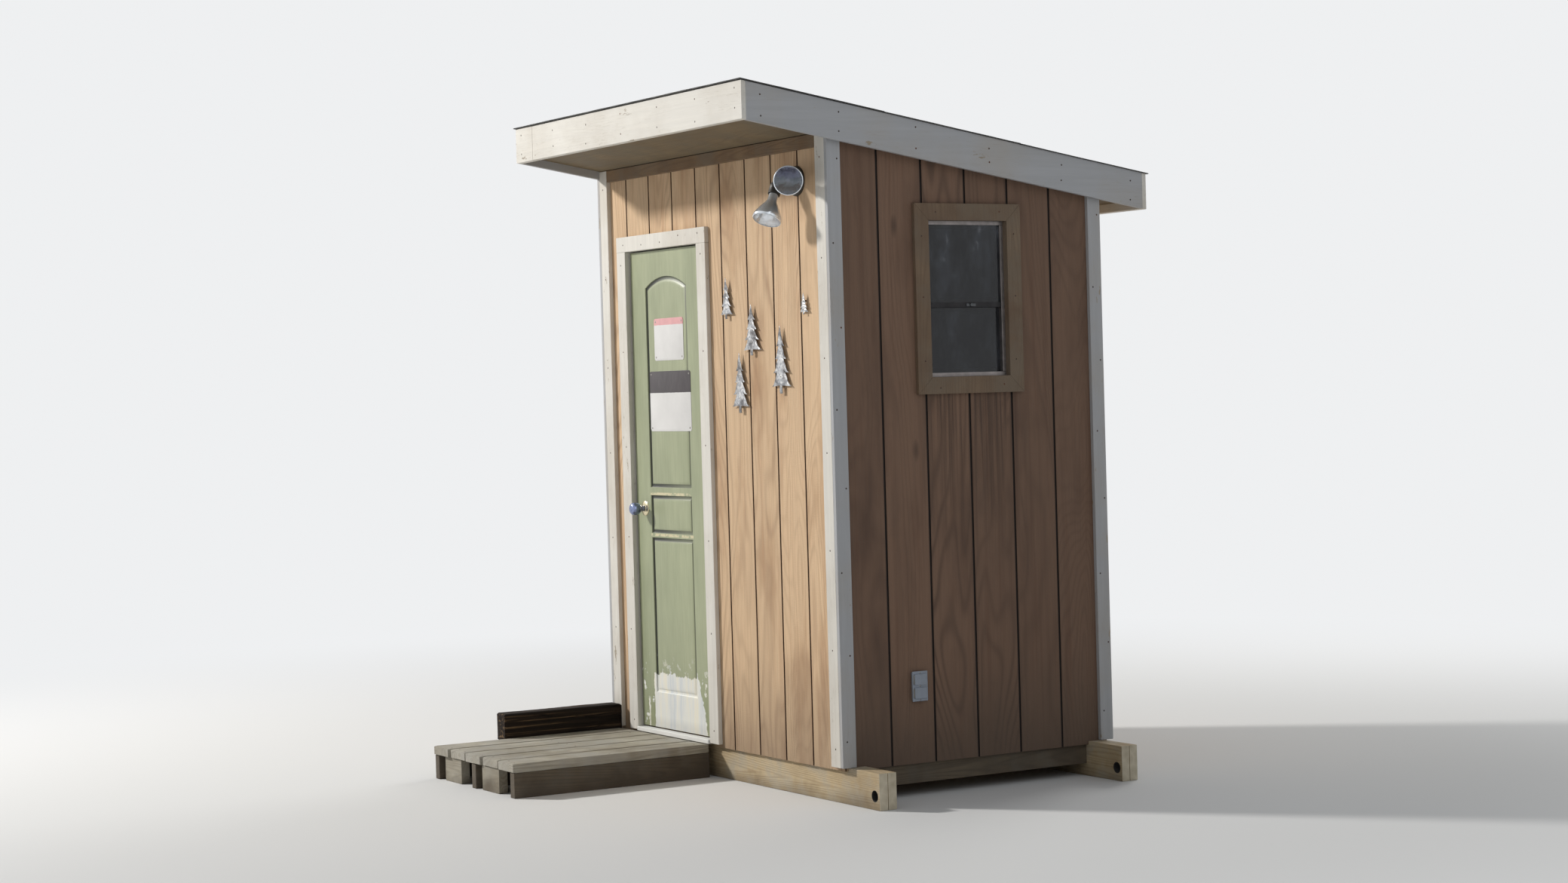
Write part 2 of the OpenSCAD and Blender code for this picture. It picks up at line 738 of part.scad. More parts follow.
// Boards that line the window opening
module window_jamb() {
    color([0.6, 0.48, 0.34]) {
        bx(x_ri - lumber_h, w_y0 - trim_t, w_z0 - trim_t, x_r, w_y1 + trim_t, w_z0);
        bx(x_ri - lumber_h, w_y0 - trim_t, w_z1, x_r, w_y1 + trim_t, w_z1 + trim_t);
        bx(x_ri - lumber_h, w_y0 - trim_t, w_z0 + e, x_r, w_y0, w_z1 - e);
        bx(x_ri - lumber_h, w_y1, w_z0 + e, x_r, w_y1 + trim_t, w_z1 - e);
    }
}

// Casing boards that meet in mitres at the corners
module window_casing() {
    c = win_case;
    color([0.55, 0.42, 0.28])
        yz(x_r, x_r + trim_t) {
            polygon([[w_y0 - c, w_z0 - c], [w_y0, w_z0], [w_y0, w_z1], [w_y0 - c, w_z1 + c]]);
            polygon([[w_y1 + c, w_z0 - c], [w_y1 + c, w_z1 + c], [w_y1, w_z1], [w_y1, w_z0]]);
            polygon([[w_y0 - c + e, w_z0 - c], [w_y1 + c - e, w_z0 - c], [w_y1 - e, w_z0], [w_y0 + e, w_z0]]);
            polygon([[w_y0 - c + e, w_z1 + c], [w_y0 + e, w_z1], [w_y1 - e, w_z1], [w_y1 + c - e, w_z1 + c]]);
        }
}

// Thin metal bars around the glass, with a meeting rail
module window_frame() {
    x0 = x_r - frame_back;
    x1 = x_r - frame_front;
    b = frame_w;
    color([0.72, 0.72, 0.7]) {
        bx(x0, w_y0 + b + e, w_rail - rail_h / 2, x1, w_y1 - b - e, w_rail + rail_h / 2);
        bx(x0, w_y0, w_z0, x1, w_y1, w_z0 + b);
        bx(x0, w_y0, w_z1 - b, x1, w_y1, w_z1);
        bx(x0, w_y0, w_z0 + b + e, x1, w_y0 + b, w_z1 - b - e);
        bx(x0, w_y1 - b, w_z0 + b + e, x1, w_y1, w_z1 - b - e);
    }
}

// Upper pane, and lower pane set further back
module window_glass() {
    b = frame_w;
    color([0.25, 0.28, 0.3, 0.6]) {
        bx(x_r - pane_up, w_y0 + b, w_rail + rail_h / 2, x_r - pane_up + glass_t, w_y1 - b, w_z1 - b);
        bx(x_r - pane_low, w_y0 + b, w_z0 + b, x_r - pane_low + glass_t, w_y1 - b, w_rail - rail_h / 2);
    }
}

// Domed cover on the wall, with a round boss under each lamp holder
module flood_base() {
    dome = [[0, 0], [1, 0], [1, 0.18], [0.96, 0.29], [0.84, 0.36], [0.74, 0.44], [0.69, 0.58], [0.6, 0.8],
        [0.34, 0.96], [0, 1]];
    color([0.3, 0.3, 0.29])
        translate([x_r - flood_in, y_f, z_eave - flood_drop]) rotate([90, 0, 0]) {
            rotate_extrude() polygon([for (p = dome) [p[0] * flood_r, p[1] * flood_box]]);
            for (s = [-1, 1]) translate([s * flood_gap / 2, 0, 0]) cylinder(h = flood_box, r = boss_r);
        }
}

// Moves a piece to one of the two pivots and aims its +Z along the lamp
module aimed(side, aim) {
    translate([x_r - flood_in + side * flood_gap / 2, y_f - flood_out, z_eave - flood_drop])
        rotate([0, aim[0], aim[1]]) children();
}

// Pivot ball and socket of each lamp
module flood_holders() {
    color([0.25, 0.25, 0.25])
        for (p = [[1, aim_right], [-1, aim_left]]) {
            translate([x_r - flood_in + p[0] * flood_gap / 2, y_f - flood_out, z_eave - flood_drop])
                rotate([-90, 0, 0]) cylinder(h = flood_out - flood_box, r = stem_r);
            aimed(p[0], p[1]) {
                sphere(r = ball_r);
                translate([0, 0, socket_up]) cylinder(h = holder_l - socket_up, r = socket_r);
            }
        }
}

// Hollow reflector lamp, axis along +Z from its cap to its lens
module par_lamp() {
    w = 3;
    out = [for (p = [[0, 0], [0.33, 0], [0.34, 0.25], [0.56, 0.43], [0.82, 0.65], [0.98, 0.8], [1, 0.93],
        [0.92, 0.975], [0, 1]]) [p[0] * lamp_r, p[1] * lamp_l]];
    rotate_extrude()
        polygon(concat(out, [[0, lamp_l - w], [0.9 * lamp_r - w / 2, 0.97 * lamp_l - w],
            [lamp_r - w, 0.9 * lamp_l], [0.98 * lamp_r - w, 0.8 * lamp_l],
            [0.82 * lamp_r - w, 0.65 * lamp_l + w / 2], [0.56 * lamp_r - w, 0.43 * lamp_l + w / 2],
            [0.34 * lamp_r - w, 0.25 * lamp_l + w / 2],
            [0.33 * lamp_r - w, w], [0, w]]));
}

module flood_lamps() {
    color([0.8, 0.82, 0.82])
        for (p = [[1, aim_right], [-1, aim_left]]) aimed(p[0], p[1]) translate([0, 0, holder_l]) par_lamp();
}

// Weather box with its cover plate and a flip lid over each socket
module outlet_box() {
    w = outlet_size[0] / 2;
    h = outlet_size[1] / 2;
    d = outlet_size[2];
    flap = h - flap_gap;
    color([0.78, 0.79, 0.78])
        translate([x_r, y_f + outlet_y, z_s + outlet_z]) {
            bx(0, -w + lid_in, -h + lid_in, d / 2, w - lid_in, h - lid_in);
            bx(d / 2, -w, -h, d / 2 + lid_t, w, h);
            for (z = [-h + flap_gap / 2, flap_gap / 2])
                bx(d / 2 + lid_t, -w + flap_side, z, d, w - flap_side, z + flap);
        }
}

// Flat tree outline with four tiers, standing on its trunk
module tree2d(w, h) {
    half = [[0.08, 0], [0.08, 0.13], [0.5, 0.11], [0.27, 0.33], [0.4, 0.31], [0.19, 0.53], [0.3, 0.51],
        [0.12, 0.72], [0.2, 0.7]];
    n = len(half) - 1;
    polygon(concat([for (p = half) [p[0] * w, p[1] * h]], [[0, h]],
        [for (i = [n : -1 : 0]) [-half[i][0] * w, half[i][1] * h]]));
}

module metal_trees() {
    color([0.7, 0.7, 0.68])
        for (t = [tree_1, tree_2, tree_3, tree_4, tree_5])
            translate([x_r - t[0], y_f, z_s + t[1]]) {
                translate([0, -tree_off, 0]) rotate([90, 0, 0]) linear_extrude(2) tree2d(t[2], t[3]);
                for (k = [0.25, 0.62])
                    translate([0, 0, t[3] * k]) rotate([90, 0, 0])
                        cylinder(h = tree_off + 1, r = peg_r, $fn = 24);
            }
}

module deck_boards() {
    color([0.55, 0.54, 0.5])
        for (i = [0 : 4]) {
            x = deck_x0 + i * (deck_bw + deck_bg);
            bx(x, deck_y1 - deck_l, bearer_h, x + deck_bw, deck_y1, bearer_h + deck_t);
        }
}

// Joists on edge under the left, middle and right boards
module deck_bearers() {
    color([0.45, 0.42, 0.36])
        for (x = [deck_x0, deck_x0 + (deck_w - lumber_t) / 2, deck_x0 + deck_w - lumber_t])
            bx(x, deck_y1 - deck_l + joist_set, 0, x + lumber_t, deck_y1, bearer_h);
}

// Short blocks that stand between the joists near the outer end
module deck_blocks() {
    bay = (deck_w - lumber_t) / 2;
    color([0.5, 0.46, 0.38])
        for (i = [0, 1]) {
            x = deck_x0 + lumber_t + block_in + i * bay;
            y = deck_y1 - deck_l + block_set;
            bx(x, y, 0, x + block_w, y + lumber_t, bearer_h);
        }
}

module timber(z0, z1) {
    bx(deck_x0 - timber_t, deck_y1 - timber_l, z0, deck_x0, deck_y1, z1);
}

module timber_lower() {
    color([0.18, 0.14, 0.11]) timber(0, timber_h / 2);
}

module timber_upper() {
    color([0.18, 0.14, 0.11]) timber(timber_h / 2, timber_h);
}

skid_front();
skid_rear();
floor_joists();
floor_panel();
plates_bottom();
plates_top();
studs_front_rear();
studs_sides();
opening_framing();
siding_front();
siding_right();
siding_left();
siding_rear();
corner_boards();
corner_returns();
frieze_boards();
rafters();
roof_panel();
roofing();
fascia_eaves();
fascia_rakes();
soffits();
door_jamb();
door_stop();
door_casing();
threshold();
door_leaf();
hinge_frames();
hinge_leaves();
knob_roses();
door_knob();
door_signs();
window_jamb();
window_casing();
window_frame();
window_glass();
flood_base();
flood_holders();
flood_lamps();
outlet_box();
metal_trees();
deck_boards();
deck_bearers();
deck_blocks();
timber_lower();
timber_upper();
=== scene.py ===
"""Looks of the wooden outhouse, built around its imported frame.

Metres, +Z up, the door faces -Y and the window faces +X.
"""
import math
import random

import bmesh
import bpy
from mathutils import Matrix, Vector, geometry, noise


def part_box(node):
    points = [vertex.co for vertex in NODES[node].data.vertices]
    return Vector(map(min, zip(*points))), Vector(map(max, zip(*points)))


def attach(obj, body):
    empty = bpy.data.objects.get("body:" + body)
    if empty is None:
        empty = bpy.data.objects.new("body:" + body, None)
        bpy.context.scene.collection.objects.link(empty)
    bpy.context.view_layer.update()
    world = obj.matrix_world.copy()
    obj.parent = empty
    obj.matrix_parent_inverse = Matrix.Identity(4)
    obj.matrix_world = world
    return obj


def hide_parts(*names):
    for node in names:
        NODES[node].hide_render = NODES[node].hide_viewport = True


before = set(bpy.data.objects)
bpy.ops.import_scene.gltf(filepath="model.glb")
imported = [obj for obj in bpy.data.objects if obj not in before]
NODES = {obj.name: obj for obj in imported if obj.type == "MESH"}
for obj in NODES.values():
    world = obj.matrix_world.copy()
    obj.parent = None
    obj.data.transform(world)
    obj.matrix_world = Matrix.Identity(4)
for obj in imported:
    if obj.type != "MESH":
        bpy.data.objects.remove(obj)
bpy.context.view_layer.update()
scene = bpy.context.scene
rng = random.Random(11)

# Building lines, read from the frame
FRONT_LOW, FRONT_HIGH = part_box("siding_front")
X_LEFT, X_RIGHT = FRONT_LOW.x, FRONT_HIGH.x
Y_FRONT, Y_REAR = FRONT_LOW.y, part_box("siding_rear")[1].y
Z_SIDING = FRONT_LOW.z

# Fall of the roof per metre, grooves of the siding along x and y, trim, and tow holes
ROOF_FALL = 0.168
GROOVE_PITCH = 0.2032
FIRST_GROOVE = (X_RIGHT - 0.227, Y_FRONT + 0.216)
TRIM_THICK = 0.019
CORNER_TALL = 2.398
TOW_IN = 0.034
TOW_UP = 0.052

TO_FRONT, TO_REAR, TO_LEFT, TO_RIGHT = (0, -1, 0), (0, 1, 0), (-1, 0, 0), (1, 0, 0)

# Camera at the photograph's station, with a tighter lens aimed at the building
PHOTO_W, PHOTO_H = 2080, 1171
STATION = Vector((9.7775, -5.8166, 1.5817))
YAW, PITCH, ROLL = (math.radians(a) for a in (-48.985, -2.112, -1.411))
FOCAL_PX = 1400.74
AIM_X, AIM_Y = 790, 566
ZOOM = 2.6
SENSOR = 36


def placed(name, data):
    """A new object in the scene."""
    obj = bpy.data.objects.new(name, data)
    scene.collection.objects.link(obj)
    return obj


def make_camera():
    ahead = Vector((math.sin(YAW) * math.cos(PITCH), math.cos(YAW) * math.cos(PITCH), math.sin(PITCH)))
    level = Vector((math.cos(YAW), -math.sin(YAW), 0))
    above = level.cross(ahead)
    right = math.cos(ROLL) * level + math.sin(ROLL) * above
    up = -math.sin(ROLL) * level + math.cos(ROLL) * above
    ray = ahead * FOCAL_PX + right * (AIM_X - PHOTO_W / 2) + up * (PHOTO_H / 2 - AIM_Y)
    back = -ray.normalized()
    across = (right - right.dot(back) * back).normalized()
    data = bpy.data.cameras.new("camera")
    data.sensor_width = SENSOR
    data.lens = SENSOR * FOCAL_PX * ZOOM / PHOTO_W
    data.clip_end = 200
    camera = placed("camera", data)
    turn = Matrix((across, back.cross(across), back)).transposed().to_4x4()
    camera.matrix_world = Matrix.Translation(STATION) @ turn
    scene.camera = camera


make_camera()


def evenly(first, last, count):
    return [first + (last - first) * i / (count - 1) for i in range(count)]


def srgb(*display):
    """Linear colour of a display colour in 0 to 255, the form that ramp, layer and tone take."""
    shares = [c / 255 for c in display]
    return (*(c / 12.92 if c <= 0.04045 else ((c + 0.055) / 1.055) ** 2.4 for c in shares), 1.0)


def node_operator(kind, swapped=False):
    """Method that builds a math node from a value and a number or another value."""
    def method(self, other=0.0):
        return self.graph.calc(kind, *((other, self) if swapped else (self, other)))
    return method


class Value:
    """Output of a node, on which plain arithmetic builds more nodes."""

    def __init__(self, graph, socket):
        self.graph = graph
        self.socket = socket

    __add__ = __radd__ = node_operator("ADD")
    __sub__ = node_operator("SUBTRACT")
    __rsub__ = node_operator("SUBTRACT", True)
    __mul__ = __rmul__ = node_operator("MULTIPLY")
    __truediv__ = node_operator("DIVIDE")
    __lt__ = node_operator("LESS_THAN")
    __gt__ = node_operator("GREATER_THAN")
    __abs__ = node_operator("ABSOLUTE")


class Graph:
    """A node tree under construction, with short calls for the nodes that it uses."""

    def __init__(self, tree):
        self.tree = tree

    def feed(self, socket, value):
        if isinstance(value, Value):
            self.tree.links.new(value.socket, socket)
        else:
            socket.default_value = value

    def node(self, kind, feeds, output=0, **props):
        """A new node, its inputs fed by index or by name, as the value of one output."""
        n = self.tree.nodes.new("ShaderNode" + kind)
        for key, value in props.items():
            setattr(n, key, value)
        for key, value in feeds.items():
            self.feed(n.inputs[key], value)
        return Value(self, n.outputs[output])

    def calc(self, op, a, b=0.0):
        return self.node("Math", {0: a, 1: b}, operation=op)


class Look(Graph):
    """A material whose base colour grows in layers, kept in mats once it is done."""

    def __init__(self, name):
        self.name = name
        self.mat = bpy.data.materials.new(name)
        self.mat.use_nodes = True
        super().__init__(self.mat.node_tree)
        self.shader = self.tree.nodes["Principled BSDF"]
        self.pos = self.node("TexCoord", {}, "Object")
        self.xyz = self.split(self.pos)
        self.base = None

    def split(self, vector):
        parts = self.node("SeparateXYZ", {0: vector}).socket.node.outputs
        return [Value(self, part) for part in parts]

    def join(self, x, y, z):
        return self.node("CombineXYZ", {0: x, 1: y, 2: z})

    def stretch(self, *scale):
        return self.node("Mapping", {"Vector": self.pos, "Scale": scale})

    def noise(self, scale, detail=3.0, rough=0.6, warp=0.0, at=None):
        """Noise over the piece or over another place, stretched when three scales are given."""
        if isinstance(scale, tuple):
            at, scale = self.stretch(*scale), 1.0
        return self.node("TexNoise", {"Vector": at or self.pos, "Scale": scale, "Detail": detail,
                                      "Roughness": rough, "Distortion": warp})

    def cells(self, scale, output="Distance", at=None):
        return self.node("TexVoronoi", {"Vector": at or self.pos, "Scale": scale}, output)

    def remap(self, value, low, high, to_low=0.0, to_high=1.0):
        return self.node("MapRange", {0: value, 1: low, 2: high, 3: to_low, 4: to_high})

    def spread(self, field, low, high):
        """A noise value stretched over a range."""
        return self.remap(field, 0.3, 0.7, low, high)

    def ramp(self, value, *colors, stops=None):
        """Colours one after another over 0 to 1, evenly spaced unless stops are given."""
        mapped = self.node("ValToRGB", {0: value})
        band = mapped.socket.node.color_ramp.elements
        while len(band) < len(colors):
            band.new(0.5)
        for element, at, color in zip(band, stops or evenly(0, 1, len(colors)), colors):
            element.position = at
            element.color = srgb(*color)
        return mapped

    def layer(self, share, color):
        """Blends a colour over the base."""
        color = color if isinstance(color, Value) else srgb(*color)
        self.base = self.node("Mix", {0: share, 6: self.base, 7: color}, 2, data_type="RGBA")

    def stain(self, color, value, low, high, most=1.0):
        """Blends a colour over the base as a value goes from low to high."""
        self.layer(self.remap(value, low, high, 0.0, most), color)

    def tone(self, color, value):
        """A colour, brightened or darkened by a factor."""
        color = color if isinstance(color, Value) else srgb(*color)[:3]
        return self.node("VectorMath", {0: color, "Scale": value}, operation="SCALE")

    def shade(self, value, low, high, first, last):
        """Scales the base by a factor that goes from first to last as a value goes from low to high."""
        self.base = self.tone(self.base, self.remap(value, low, high, first, last))

    def done(self, rough, height=None, depth=0.0, **more):
        """Feeds the shader, with relief where a height is given, and keeps the material."""
        inputs = {"Base Color": self.base, "Roughness": rough}
        if height is not None:
            relief = {"Strength": 1.0, "Distance": depth, "Height": height}
            inputs["Normal"] = self.node("Bump", relief)
        for key, value in {**inputs, **more}.items():
            self.feed(self.shader.inputs[key.replace("_", " ")], value)
        mats[self.name] = self.mat


TRIM = (214, 210, 201)
# Same white trim paint, darker as painted shade for the side-facing rakes and corner returns
TRIM_PAINTED_SHADE = (168, 169, 171)
BARE = (150, 138, 120)
TAN = ((213, 182, 146), (180, 145, 110), (120, 88, 64))
# Right side siding: darker brown, partly less bleached wood and partly painted shade
UMBER_WITH_PAINTED_SHADE = ((118, 92, 74), (96, 73, 58), (52, 38, 30))
mats = {}


def board(along, wide, length):
    """Scales across and along a board whose grain runs along one axis."""
    return tuple(length if axis == along else wide for axis in range(3))


def grain(g, along, seed, rings=26.0):
    """Annual rings and fibres of a board whose grain runs along one axis."""
    shift = [seed * k for k in (1.7, 3.1, 5.3)]
    place = g.stretch(*board(along, 9.0, 0.5))
    place = g.node("VectorMath", {0: place, 1: shift}, operation="ADD")
    wave = g.calc("SINE", g.noise(1.0, 1.2, 0.4, 0.2, place) * (rings * math.tau))
    late = g.calc("POWER", g.remap(wave, -1, 1), 3.0)
    return late, g.noise(board(along, 260.0, 7.0), 3.0, 0.65)


def wood(name, along, light, dark, seed, rings=26.0, grey=None, darker_below=None, depth=0.0006):
    """Bare or stained board, with rings, fibres, blotches and weathering."""
    g = Look(name)
    late, fibre = grain(g, along, seed, rings)
    blotch = g.noise(3.5)
    g.base = g.ramp(g.spread(blotch, 0, 1), dark, light)
    g.layer(late * 0.55, dark)
    g.shade(fibre, 0.25, 0.75, 0.8, 1.16)
    if grey is not None:
        g.stain(grey, g.noise(5.0, 4.0), 0.42, 0.62, 0.65)
    if darker_below is not None:
        # Darker towards the bottom, below the given height
        low = g.xyz[2] + g.spread(blotch, -0.04, 0.04)
        g.stain((70, 60, 48), low, darker_below, 0.0, 0.6)
    g.done(g.remap(fibre, 0.2, 0.8, 0.68, 0.9), late * 0.5 + fibre, depth)


def window_drips(g, seed):
    """Stain that ran down the siding from the window's sill."""
    low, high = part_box("window_casing")
    y, z = g.xyz[1:]
    drip = g.remap(g.noise(1.0, at=g.join(y * 70.0, seed, z * 1.1)), 0.44, 0.62)
    drip *= g.remap(z, low.z - 0.75, low.z - 0.05, 0.0, 0.7)
    drip *= g.remap(y, low.y - 0.01, low.y + 0.05) * g.remap(y, high.y + 0.01, high.y - 0.05)
    return drip * (z < low.z)


def siding(name, across, face, inward, tones, seed, rings=0.24, foot=0.45, showy=None):
    """Grooved sheet: a tone and a grain of its own for each board, and dark grooves."""
    light, mid, dark = tones
    g = Look(name)
    x, z = g.xyz[across], g.xyz[2]
    place = (x - FIRST_GROOVE[across]) / GROOVE_PITCH
    number = g.calc("FLOOR", place)
    part = g.calc("FRACT", place)
    luck = g.split(g.node("TexWhiteNoise", {"W": number + seed * 13.37}, "Color",
                          noise_dimensions="1D"))
    zed = z + luck[1] * 17.0
    lane = part * 0.75 + number * 3.7

    def streaks(wide, slot, length, detail=3.0, rough=0.6):
        """Noise drawn out along the boards, with a pattern of its own for each slot."""
        return g.noise(1.0, detail, rough, at=g.join(x * wide, slot, zed * length))

    field = g.noise(1.0, 1.6, 0.45, 0.35, g.join(lane, seed, zed * 0.62))
    wave = g.calc("SINE", field * g.remap(luck[2], 0, 1, 110.0, 210.0))
    late = g.calc("POWER", g.remap(wave, -1, 1), 2.6)
    fibre = streaks(230.0, seed, 6.0, rough=0.65)
    blotch = streaks(4.0, number, 1.3, 4.0)
    g.base = g.ramp(g.remap(blotch, 0.28, 0.7), mid, light, light)
    figure = g.remap(g.noise(1.0, 1.0, 0.5, at=g.join(lane, number, zed * 0.5)), 0.35, 0.65, 0.35, 1.0)
    mark = late * figure * rings
    if showy is not None:
        mark *= g.remap(abs(number - showy) < 0.6, 0, 1, 0.7, 1.9)
        mark = g.calc("MAXIMUM", mark, window_drips(g, seed))
    g.layer(mark, dark)
    g.stain(mid, streaks(46.0, seed, 0.9), 0.5, 0.74, 0.46)
    rusty = g.node("VectorMath", {0: srgb(*mid)[:3], 1: (0.82, 0.62, 0.52)}, operation="MULTIPLY")
    g.stain(rusty, streaks(21.0, seed + 5, 0.7, 4.0), 0.54, 0.74, 0.42)
    g.shade(luck[0], 0, 1, 0.88, 1.06)
    g.shade(fibre, 0.25, 0.75, 0.86, 1.12)
    # Knots, few and stretched a little along the board
    knot = g.remap(g.cells(1.0, at=g.join(x * 3.1, seed, zed * 1.15)), 0.06, 0.02)
    g.layer(knot * 0.55, g.tone(dark, 0.6))
    # Darker beside the grooves and towards the foot of the sheet
    g.stain(dark, abs(part - 0.5), 0.455, 0.5, 0.55)
    foot_level = z + g.spread(blotch, -0.12, 0.12)
    g.stain((84, 70, 58), foot_level, Z_SIDING + 0.42, Z_SIDING + 0.02, foot)
    # The groove's floor lies a few millimetres behind the face, and is painted dark there: painted shade in
    # the groove
    sunk = (g.xyz[1 - across] - face) * inward
    g.layer((sunk > 0.0012) * (sunk < 0.0075), g.tone(dark, 0.32))
    height = late * 0.7 + fibre + streaks(40.0, seed, 190.0, 2.0, 0.5) * 0.45 - knot * 0.8
    g.done(g.remap(fibre, 0.2, 0.8, 0.7, 0.92), height, 0.0009)


def paint(name, along, tone, seed, dirt=0.35, chips=0.66):
    """Old brushed paint on a board: streaks, dirt, hairline cracks and small chips."""
    g = Look(name)
    late, fibre = grain(g, along, seed, 14.0)
    soft = g.noise(2.2, 4.0)
    streak = g.noise(board(along, 46.0, 2.5))
    g.base = g.tone(tone, g.remap(streak, 0.25, 0.75, 0.9, 1.05))
    g.stain(g.tone(BARE, 1.25), soft, 0.45, 0.72, dirt)
    crack = g.remap(abs(streak - 0.5), 0.0, 0.012, 0.32, 0.0) * g.remap(soft, 0.4, 0.6)
    chip = g.remap(g.noise(board(along, 24.0, 7.0), 5.0, 0.7), chips, chips + 0.025)
    g.layer(crack, BARE)
    g.layer(chip, g.tone(BARE, g.remap(fibre, 0.2, 0.8, 0.7, 1.3)))
    height = late * 0.25 - (chip + crack * 0.8) + streak * 0.5
    g.done(g.remap(streak, 0.2, 0.8, 0.52, 0.74), height, 0.0004)


def metal(name, color, rough, speck=0.2, rust=0.0, shine=1.0, grit=0.00008, **more):
    """Metal with fine scratches, clouding and, where asked, rust."""
    g = Look(name)
    fine = g.noise((400, 400, 60), 2.0, 0.5)
    g.base = g.tone(color, g.spread(g.noise(26.0, 4.0), 1 - speck, 1 + speck * 0.5))
    if rust:
        g.stain((92, 52, 32), g.noise(60.0, 5.0, 0.7), 0.66 - rust * 0.3, 0.74 - rust * 0.3)
    g.done(g.remap(fine, 0.2, 0.8, rough - 0.06, rough + 0.1), fine, grit, Metallic=shine, **more)


def plastic(name, color, rough):
    g = Look(name)
    soft = g.noise(30.0, 4.0)
    g.base = g.tone(color, g.spread(soft, 0.9, 1.06))
    fine = g.noise(900.0, 2.0, 0.5)
    g.done(g.spread(soft, rough - 0.06, rough + 0.1), fine, 0.00015)


siding("siding_front", 0, Y_FRONT, 1, TAN, 1, 0.34)
siding("siding_rear", 0, Y_REAR, -1, TAN, 2)
# Right side: darker tones, partly painted shade
siding("siding_right", 1, X_RIGHT, -1, UMBER_WITH_PAINTED_SHADE, 3, 0.3, 0.7, 1.5)
siding("siding_left", 1, X_LEFT, 1, TAN, 4)
paint("paint_upright", 2, TRIM, 1)
paint("paint_across", 0, TRIM, 2)
# Rakes and corner returns face the sides: trim paint darkened as painted shade
paint("paint_rake_painted_shade", 1, TRIM_PAINTED_SHADE, 3)
paint("paint_return_painted_shade", 2, TRIM_PAINTED_SHADE, 4)
paint("paint_sill", 0, (226, 226, 222), 5, dirt=0.2, chips=0.7)
wood("framing_lumber", 2, (214, 182, 134), (186, 148, 100), 4)
wood("rafter_lumber", 1, (206, 172, 124), (178, 140, 94), 5)
wood("plywood", 1, (200, 164, 116), (172, 134, 90), 6, rings=18.0)
# Soffit plywood toned darker than its own tan: painted shade under the eave
wood("soffit_plywood_shaded", 0, (128, 112, 84), (106, 90, 66), 7, rings=18.0, grey=(106, 96, 78))
# Frieze: brown wood, darkened further as painted shade under the eave
wood("frieze_board", 0, (134, 108, 78), (104, 80, 56), 8, grey=(112, 98, 80))
# Window boards on the shaded side: brown wood, darker as painted shade
wood("window_board_shaded", 2, (124, 104, 82), (96, 77, 60), 9, grey=(108, 96, 81))
wood("deck_board", 1, (190, 184, 168), (126, 118, 102), 10, rings=20.0, grey=(158, 155, 147), depth=0.0014)
# Joists and bearers: weathered dark brown, darkened further as painted shade under the deck and floor
wood("joist_dark_and_shaded", 1, (104, 92, 74), (66, 56, 44), 11, grey=(92, 86, 76), darker_below=0.06)
wood("deck_block", 0, (170, 162, 144), (120, 110, 92), 13, grey=(150, 146, 134), darker_below=0.05)
metal("dull_steel", (140, 138, 132), 0.42, 0.3, 0.25)
metal("nail_head", (70, 62, 56), 0.6, 0.3, 0.5, 0.6)
metal("rose_brass", (224, 212, 178), 0.26, 0.25)
# Knob steel tinted blue: painted reflection of sky
metal("knob_steel_painted_sky", (138, 148, 180), 0.25, 0.3)
# Latch metal dimmed: painted shade
metal("latch_alloy", (88, 90, 92), 0.5)
metal("lamp_enamel", (58, 56, 52), 0.45, 0.3, 0.0, 0.3)
# Lamp silver with a faint blue tint: painted reflection of sky
metal("lamp_silver", (226, 232, 238), 0.16, 0.1, 0.0, 0.65, 0.00001, Coat_Weight=1.0)
# Outlet plastic dimmed and tinted blue-grey: painted shade
plastic("outlet_shell", (142, 149, 160), 0.5)
plastic("dark_gasket", (34, 34, 36), 0.7)


def zinc():
    """Galvanised sheet with its patchwork of crystals, dulled in places."""
    g = Look("tree_zinc")
    crystal = g.split(g.cells(130.0, "Color"))[0]
    g.base = g.ramp(crystal, (160, 162, 166), (214, 213, 211))
    g.stain((84, 80, 80), g.noise(22.0, 4.0), 0.46, 0.64, 0.8)
    fine = g.noise(90.0, 2.0, 0.5)
    g.done(g.remap(crystal, 0, 1, 0.3, 0.38), fine, 0.0001, Metallic=1.0)


def alloy():
    """Aluminium bars, dimmed as painted shade; the inner bars and the meeting rail in the middle are darker
    still, painted shade.
    """
    g = Look("window_alloy")
    low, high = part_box("window_frame")
    y, z = g.xyz[1:]
    cloud = g.noise(30.0, 4.0)
    fine = g.noise((400, 400, 60), 2.0, 0.5)
    # Bar tone dimmed, and the inner bars and meeting rail darker: painted shade
    g.base = g.tone((140, 134, 132), g.spread(cloud, 0.72, 1.05))
    painted_shade_inner = (z > low.z + 0.018) * (z < high.z - 0.018) * (y > low.y + 0.0162) * (y < high.y - 0.0162)
    g.layer(painted_shade_inner, g.tone((46, 45, 46), g.spread(cloud, 0.8, 1.3)))
    g.done(g.remap(fine, 0.2, 0.8, 0.34, 0.5), fine, 0.00008, Metallic=0.9)


